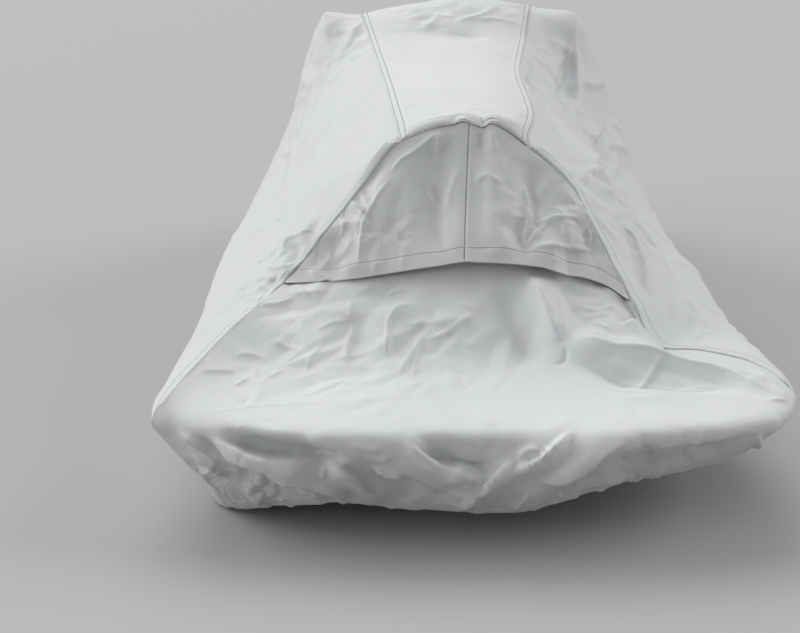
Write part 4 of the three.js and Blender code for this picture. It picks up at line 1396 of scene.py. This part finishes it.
def sheet_mesh(name, points, facing):
    """A closed sheet of even thickness under a grid, its unseen face with every second line."""
    rows, across = points.shape[:2]
    kept_rows = [*range(0, rows - 1, 2), rows - 1]
    kept_across = [*range(0, across - 1, 2), across - 1]
    pick = np.ix_(kept_rows, kept_across)

    def both(seen, unseen):
        size = seen.shape[2:]
        return np.concatenate([seen.reshape(-1, *size), unseen[pick].reshape(-1, *size)])

    def cells(index):
        corners = index[:-1, :-1], index[1:, :-1], index[1:, 1:], index[:-1, 1:]
        return np.stack(corners, -1).reshape(-1, 4)

    vertices = both(points, points - grid_normals(points, facing) * CLOTH_THICKNESS)
    outer = np.arange(rows * across).reshape(rows, across)
    inner = rows * across + np.arange(len(kept_rows) * len(kept_across)).reshape(len(kept_rows), -1)
    faces = [*cells(outer)[:, ::facing].tolist(), *cells(inner)[:, ::-facing].tolist()]
    rims = (
        (outer[:, 0], inner[:, 0], kept_rows, -1), (outer[:, -1], inner[:, -1], kept_rows, 1),
        (outer[0], inner[0], kept_across, 1), (outer[-1], inner[-1], kept_across, -1),
    )
    for edge, below, kept, turn in rims:
        for k in range(len(below) - 1):
            seen_run = edge[kept[k]:kept[k + 1] + 1].tolist()
            face = (*seen_run, int(below[k + 1]), int(below[k]))
            faces.append(face[:: turn * facing])
    mesh = bpy.data.meshes.new("cloth_" + name)
    mesh.from_pydata(((vertices - TOP_POINT) * MILLIMETRE).tolist(), [], faces)
    mesh.polygons.foreach_set("use_smooth", np.ones(len(mesh.polygons), bool))
    laid = np.stack([lengths_along(points, 0), lengths_along(points, 1)], -1) * MILLIMETRE
    corner = np.empty(len(mesh.loops), int)
    mesh.loops.foreach_get("vertex_index", corner)
    mesh.uv_layers.new(name="cloth").data.foreach_set("uv", both(laid, laid)[corner].ravel())
    marks = {"crumple": crumpled(name, points), "wear": worn_of(name, points), "soil": soil_of(points)}
    for label, values in marks.items():
        attribute = mesh.attributes.new(label, "FLOAT", "POINT")
        attribute.data.foreach_set("value", both(values, values))
    mesh.update()
    return mesh


def thread_lines(name, points, facing, shade):
    """Points and normals of the lines of thread of a shade on a panel."""
    columns = np.concatenate([points, grid_normals(points, facing)], -1)
    for band in (row for row in of_panel(BANDS, name) if row["thread"] == shade):
        away = from_side(points, band["side"])
        within = span_of(name, band, points)
        by_row = band["side"].endswith("Point")
        for line in band["lines"]:
            found = []
            for k in range(points.shape[0 if by_row else 1]):
                pick = (k, slice(None)) if by_row else (slice(None), k)
                if within[pick][0] < SEWN_SHARE:
                    continue
                order = np.argsort(away[pick])
                marks = away[pick][order]
                found.append([np.interp(line, marks, column) for column in columns[pick][order].T])
            found = np.array(found)
            yield found[:, :3], unit(found[:, 3:])


def stitches(name, lines):
    """A mesh of stitches along lines: each rises out of the cloth and goes back into it."""
    points, faces = [], []
    for line, ups in lines:
        along = np.concatenate([[0], np.cumsum(np.linalg.norm(np.diff(line, axis=0), axis=1))])

        def at(values, marks):
            return np.stack([np.interp(marks, along, values[:, axis]) for axis in range(3)], -1)

        starts = np.arange(STITCH_PITCH, along[-1] - STITCH_PITCH, STITCH_PITCH)
        middle, up = at(line, starts), unit(at(ups, starts))
        ahead = unit(at(line, starts + STITCH_LENGTH / 2) - at(line, starts - STITCH_LENGTH / 2))
        half = np.cross(up, ahead) * (STITCH_WIDTH / 2)
        before = sum(map(len, points))
        for share, rise in STITCH_PROFILE:
            centre = middle + ahead * share * STITCH_LENGTH + up * rise * STITCH_HEIGHT
            points.extend((centre - half, centre + up * STITCH_HEIGHT * STITCH_CROWN, centre + half))
        ring = np.arange(before, sum(map(len, points))).reshape(len(STITCH_PROFILE), -1, len(starts))
        for near, far in ((0, 1), (1, 2)):
            for one, other in ((0, 1), (1, 2)):
                quad = ring[near, one], ring[far, one], ring[far, other], ring[near, other]
                faces.extend(np.stack(quad, -1).tolist())
    mesh = bpy.data.meshes.new(name)
    mesh.from_pydata(((np.concatenate(points) - TOP_POINT) * MILLIMETRE).tolist(), [], faces)
    mesh.update()
    return mesh


def link(name, data):
    obj = bpy.data.objects.new(name, data)
    bpy.context.scene.collection.objects.link(obj)
    return obj


# Cloth and thread: colours, then the noises with their scale, detail and roughness, the range
# that is read from each and what it is spread to.
CLOTH_COLOUR = (0.66, 0.672, 0.678, 1)
CLOTH_SHADE = (0.605, 0.618, 0.622, 1)
CLOTH_SPECK = (0.5, 0.51, 0.51, 1)
CLOTH_WORN = (0.74, 0.745, 0.74, 1)
CLOTH_SOIL = (0.43, 0.425, 0.4, 1)
NOISES = {
    "patches": (3.2, 6.0, 0.62, 0.3, 0.7, 0.0, 1.0),
    "specks": (70.0, 4.0, 0.7, 0.35, 0.75, 0.0, 1.0),
    "wear": (26.0, 5.0, 0.7, 0.38, 0.62, 0.0, 1.0),
    "soil": (9.0, 6.0, 0.65, 0.3, 0.7, 0.15, 1.0),
}
SPECK_SHARE, WORN_SHARE, SOIL_SHARE = 0.12, 0.55, 0.4
CLOTH_ROUGHNESS = (0.5, 0.6)
WORN_ROUGHNESS = 0.2
SHEEN_WEIGHT, SHEEN_ROUGHNESS = 0.12, 0.5
WEAVE = {"Scale": 190.0, "Distortion": 0.6, "Detail": 1.0}
WEAVE_HEIGHT = 0.00012
CRINKLE = {"Scale": 16.0, "Detail": 3.0, "Roughness": 0.45, "Distortion": 0.3}
CRINKLE_HEIGHT = 0.0009
# Thread greys by shade. The dark one is partly the thread's own colour and partly painted shadow of the
# needle holes and seam grooves; the pale one is the hems' thread.
THREADS = {
    "dark": ((0.09, 0.095, 0.1, 1), (0.15, 0.155, 0.16, 1)),
    "pale": ((0.34, 0.345, 0.35, 1), (0.46, 0.465, 0.47, 1)),
}
THREAD_FADE = {"Scale": 14.0, "Detail": 4.0}
THREAD_ROUGHNESS = (0.6, 0.8)
THREAD_TWIST = 900.0
THREAD_PLY = 0.0002


class Shading:
    """The nodes of a material or of the world."""

    def __init__(self, owner):
        owner.use_nodes = True
        self.nodes, self.links = owner.node_tree.nodes, owner.node_tree.links

    def feed(self, socket, value):
        if isinstance(value, bpy.types.NodeSocket):
            self.links.new(value, socket)
        else:
            socket.default_value = value

    def add(self, kind, output, inputs=(), **settings):
        """A node with its inputs set or linked, by name or place; gives its output."""
        node = self.nodes.new("ShaderNode" + kind)
        for name, value in settings.items():
            setattr(node, name, value)
        for key, value in dict(inputs).items():
            self.feed(node.inputs[key], value)
        return node.outputs[output]

    def finish(self, kind, **values):
        """Set or link inputs of the node that the render reads."""
        for name, value in values.items():
            self.feed(self.nodes[kind].inputs[name.replace("_", " ")], value)

    def math(self, operation, first, second):
        return self.add("Math", "Value", {0: first, 1: second}, operation=operation)

    def ranged(self, value, low, high, least, most):
        ends = {"From Min": low, "From Max": high, "To Min": least, "To Max": most}
        return self.add("MapRange", "Result", {"Value": value, **ends})

    def mixed(self, share, first, second):
        return self.add("Mix", 2, {0: share, 6: first, 7: second}, data_type="RGBA")

    def ramp(self, value, colours):
        """Colours spread over a value, each at its place from 0 to 1."""
        drawn = self.add("ValToRGB", "Color", {"Fac": value})
        for element, (position, colour) in zip(drawn.node.color_ramp.elements, colours):
            element.position, element.color = position, colour
        return drawn

    def bump(self, height, distance):
        return self.add("Bump", "Normal", {"Strength": 1.0, "Distance": distance, "Height": height})


def cloth_material():
    """Coated woven cloth: two greys in patches, paler and rougher where worn, greyer along the hems."""
    material = bpy.data.materials.new("cover_cloth")
    shading = Shading(material)
    place = shading.add("TexCoord", "Object")
    laid = shading.add("UVMap", "UV", uv_map="cloth")

    def noise(name):
        scale, detail, roughness, *spread = NOISES[name]
        inputs = {"Vector": place, "Scale": scale, "Detail": detail, "Roughness": roughness}
        return shading.ranged(shading.add("TexNoise", "Fac", inputs), *spread)

    def marked(name):
        return shading.add("Attribute", "Fac", attribute_name=name)

    def times(first, second):
        return shading.math("MULTIPLY", first, second)

    patches = noise("patches")
    worn, soiled = times(marked("wear"), noise("wear")), times(marked("soil"), noise("soil"))
    colour = shading.mixed(patches, CLOTH_COLOUR, CLOTH_SHADE)
    colour = shading.mixed(times(noise("specks"), SPECK_SHARE), colour, CLOTH_SPECK)
    colour = shading.mixed(times(worn, WORN_SHARE), colour, CLOTH_WORN)
    colour = shading.mixed(times(soiled, SOIL_SHARE), colour, CLOTH_SOIL)
    rough = shading.ranged(patches, 0.0, 1.0, *CLOTH_ROUGHNESS)
    rough = shading.math("ADD", rough, times(worn, WORN_ROUGHNESS))
    yarns = [
        shading.add("TexWave", "Fac", {"Vector": laid, **WEAVE}, bands_direction=direction)
        for direction in ("X", "Y")
    ]
    weave = times(shading.math("MAXIMUM", *yarns), WEAVE_HEIGHT)
    ridged = {"noise_type": "RIDGED_MULTIFRACTAL", "normalize": True}
    crinkle = shading.add("TexNoise", "Fac", {"Vector": place, **CRINKLE}, **ridged)
    crinkle = times(times(crinkle, marked("crumple")), CRINKLE_HEIGHT)
    normal = shading.bump(shading.math("ADD", weave, crinkle), 1.0)
    shading.finish("Principled BSDF", Base_Color=colour, Roughness=rough, Normal=normal,
                   Sheen_Weight=SHEEN_WEIGHT, Sheen_Roughness=SHEEN_ROUGHNESS)
    return material


def thread_material(shade):
    """Twisted thread in two greys of a shade, with the ridges of its plies; the dark shade also paints the
    shadow of the needle holes and seam grooves.
    """
    material = bpy.data.materials.new("thread_" + shade)
    shading = Shading(material)
    place = shading.add("TexCoord", "Object")
    faded = shading.add("TexNoise", "Fac", {"Vector": place, **THREAD_FADE})
    twist = {"Vector": place, "Scale": THREAD_TWIST}
    plies = shading.add("TexWave", "Fac", twist, bands_direction="DIAGONAL")
    shading.finish("Principled BSDF", Base_Color=shading.ramp(faded, enumerate(THREADS[shade])),
                   Roughness=shading.ranged(plies, 0.0, 1.0, *THREAD_ROUGHNESS),
                   Normal=shading.bump(plies, THREAD_PLY))
    return material


cloth = cloth_material()
threads = {shade: thread_material(shade) for shade in THREADS}
for name in GRIDS:
    grid, facing = shaped(name)
    piece = link("cloth_" + name, sheet_mesh(name, grid, facing))
    piece.data.materials.append(cloth)
    sewing = []
    for shade, material in threads.items():
        # The dark thread's colour is partly painted shadow of the needle holes and seam grooves.
        lines = list(thread_lines(name, grid, facing, shade))
        if lines:
            label = shade + "_thread_" + name
            sewing.append(link(label, stitches(label, lines)))
            sewing[-1].data.materials.append(material)
    for part in (piece, *sewing):
        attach(part, "root")
    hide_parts(name)

# Floor, light and camera, in metres and radians.
FLOOR_HEIGHT = -0.94
FLOOR_SIZE = 2000.0
FLOOR_COLOUR = (0.42, 0.42, 0.42, 1)
FLOOR_ROUGHNESS = 0.9
PHOTO_WIDTH = 800
FOCAL_PIXELS = 1149.95
SENSOR_WIDTH = 36.0
CAMERA_PLACE = Vector((-0.1016, -3.7546, 0.0956))
CAMERA_YAW, CAMERA_PITCH, CAMERA_ROLL = -0.0174, 0.2928, -0.0044
# Sky: its colours at the level of the eye and overhead, and their strength.
SKY = ((0.5, (0.3, 0.31, 0.325, 1)), (1.0, (1.0, 1.01, 1.03, 1)))
SKY_STRENGTH = 0.58
# Soft lights: their energy, their spread in degrees and the way in which they shine.
LIGHTS = table(("name", "energy", "spread", "way"), [
    ("sky_light", 1.0, 45, (0.2, -0.7, -1)),
    ("left_light", 1.4, 40, (1, -0.3, -0.55)),
    ("right_light", 1.2, 35, (-1, -0.2, -0.55)),
    ("front_light", 0.5, 20, (1, 0.5, -0.3)),
])


def make_floor():
    mesh = bpy.data.meshes.new("floor")
    half = FLOOR_SIZE / 2
    corners = [(-half, -half), (half, -half), (half, half), (-half, half)]
    mesh.from_pydata([(x, y, FLOOR_HEIGHT) for x, y in corners], [], [(0, 1, 2, 3)])
    floor = link("floor", mesh)
    material = bpy.data.materials.new("floor")
    Shading(material).finish("Principled BSDF", Base_Color=FLOOR_COLOUR, Roughness=FLOOR_ROUGHNESS)
    mesh.materials.append(material)


def make_camera():
    data = bpy.data.cameras.new("camera")
    data.sensor_width = SENSOR_WIDTH
    data.lens = data.sensor_width * FOCAL_PIXELS / PHOTO_WIDTH
    camera = link("camera", data)
    turn = Matrix.Rotation(-CAMERA_YAW, 3, "Z")
    tilt = Matrix.Rotation(math.pi / 2 - CAMERA_PITCH, 3, "X")
    roll = Matrix.Rotation(CAMERA_ROLL, 3, "Z")
    camera.matrix_world = Matrix.Translation(CAMERA_PLACE) @ (turn @ tilt @ roll).to_4x4()
    bpy.context.scene.camera = camera


def make_light():
    world = bpy.data.worlds.new("sky")
    shading = Shading(world)
    place = shading.add("TexCoord", "Generated")
    height = shading.add("SeparateXYZ", "Z", {"Vector": place})
    colour = shading.ramp(shading.ranged(height, -1.0, 1.0, 0.0, 1.0), SKY)
    shading.finish("Background", Color=colour, Strength=SKY_STRENGTH)
    bpy.context.scene.world = world
    for row in LIGHTS:
        data = bpy.data.lights.new(row["name"], "SUN")
        data.energy = row["energy"]
        data.angle = math.radians(row["spread"])
        lamp = link(row["name"], data)
        lamp.rotation_euler = Vector(row["way"]).to_track_quat("-Z", "Y").to_euler()


make_floor()
make_camera()
make_light()
bpy.context.scene.view_settings.view_transform = "Standard"
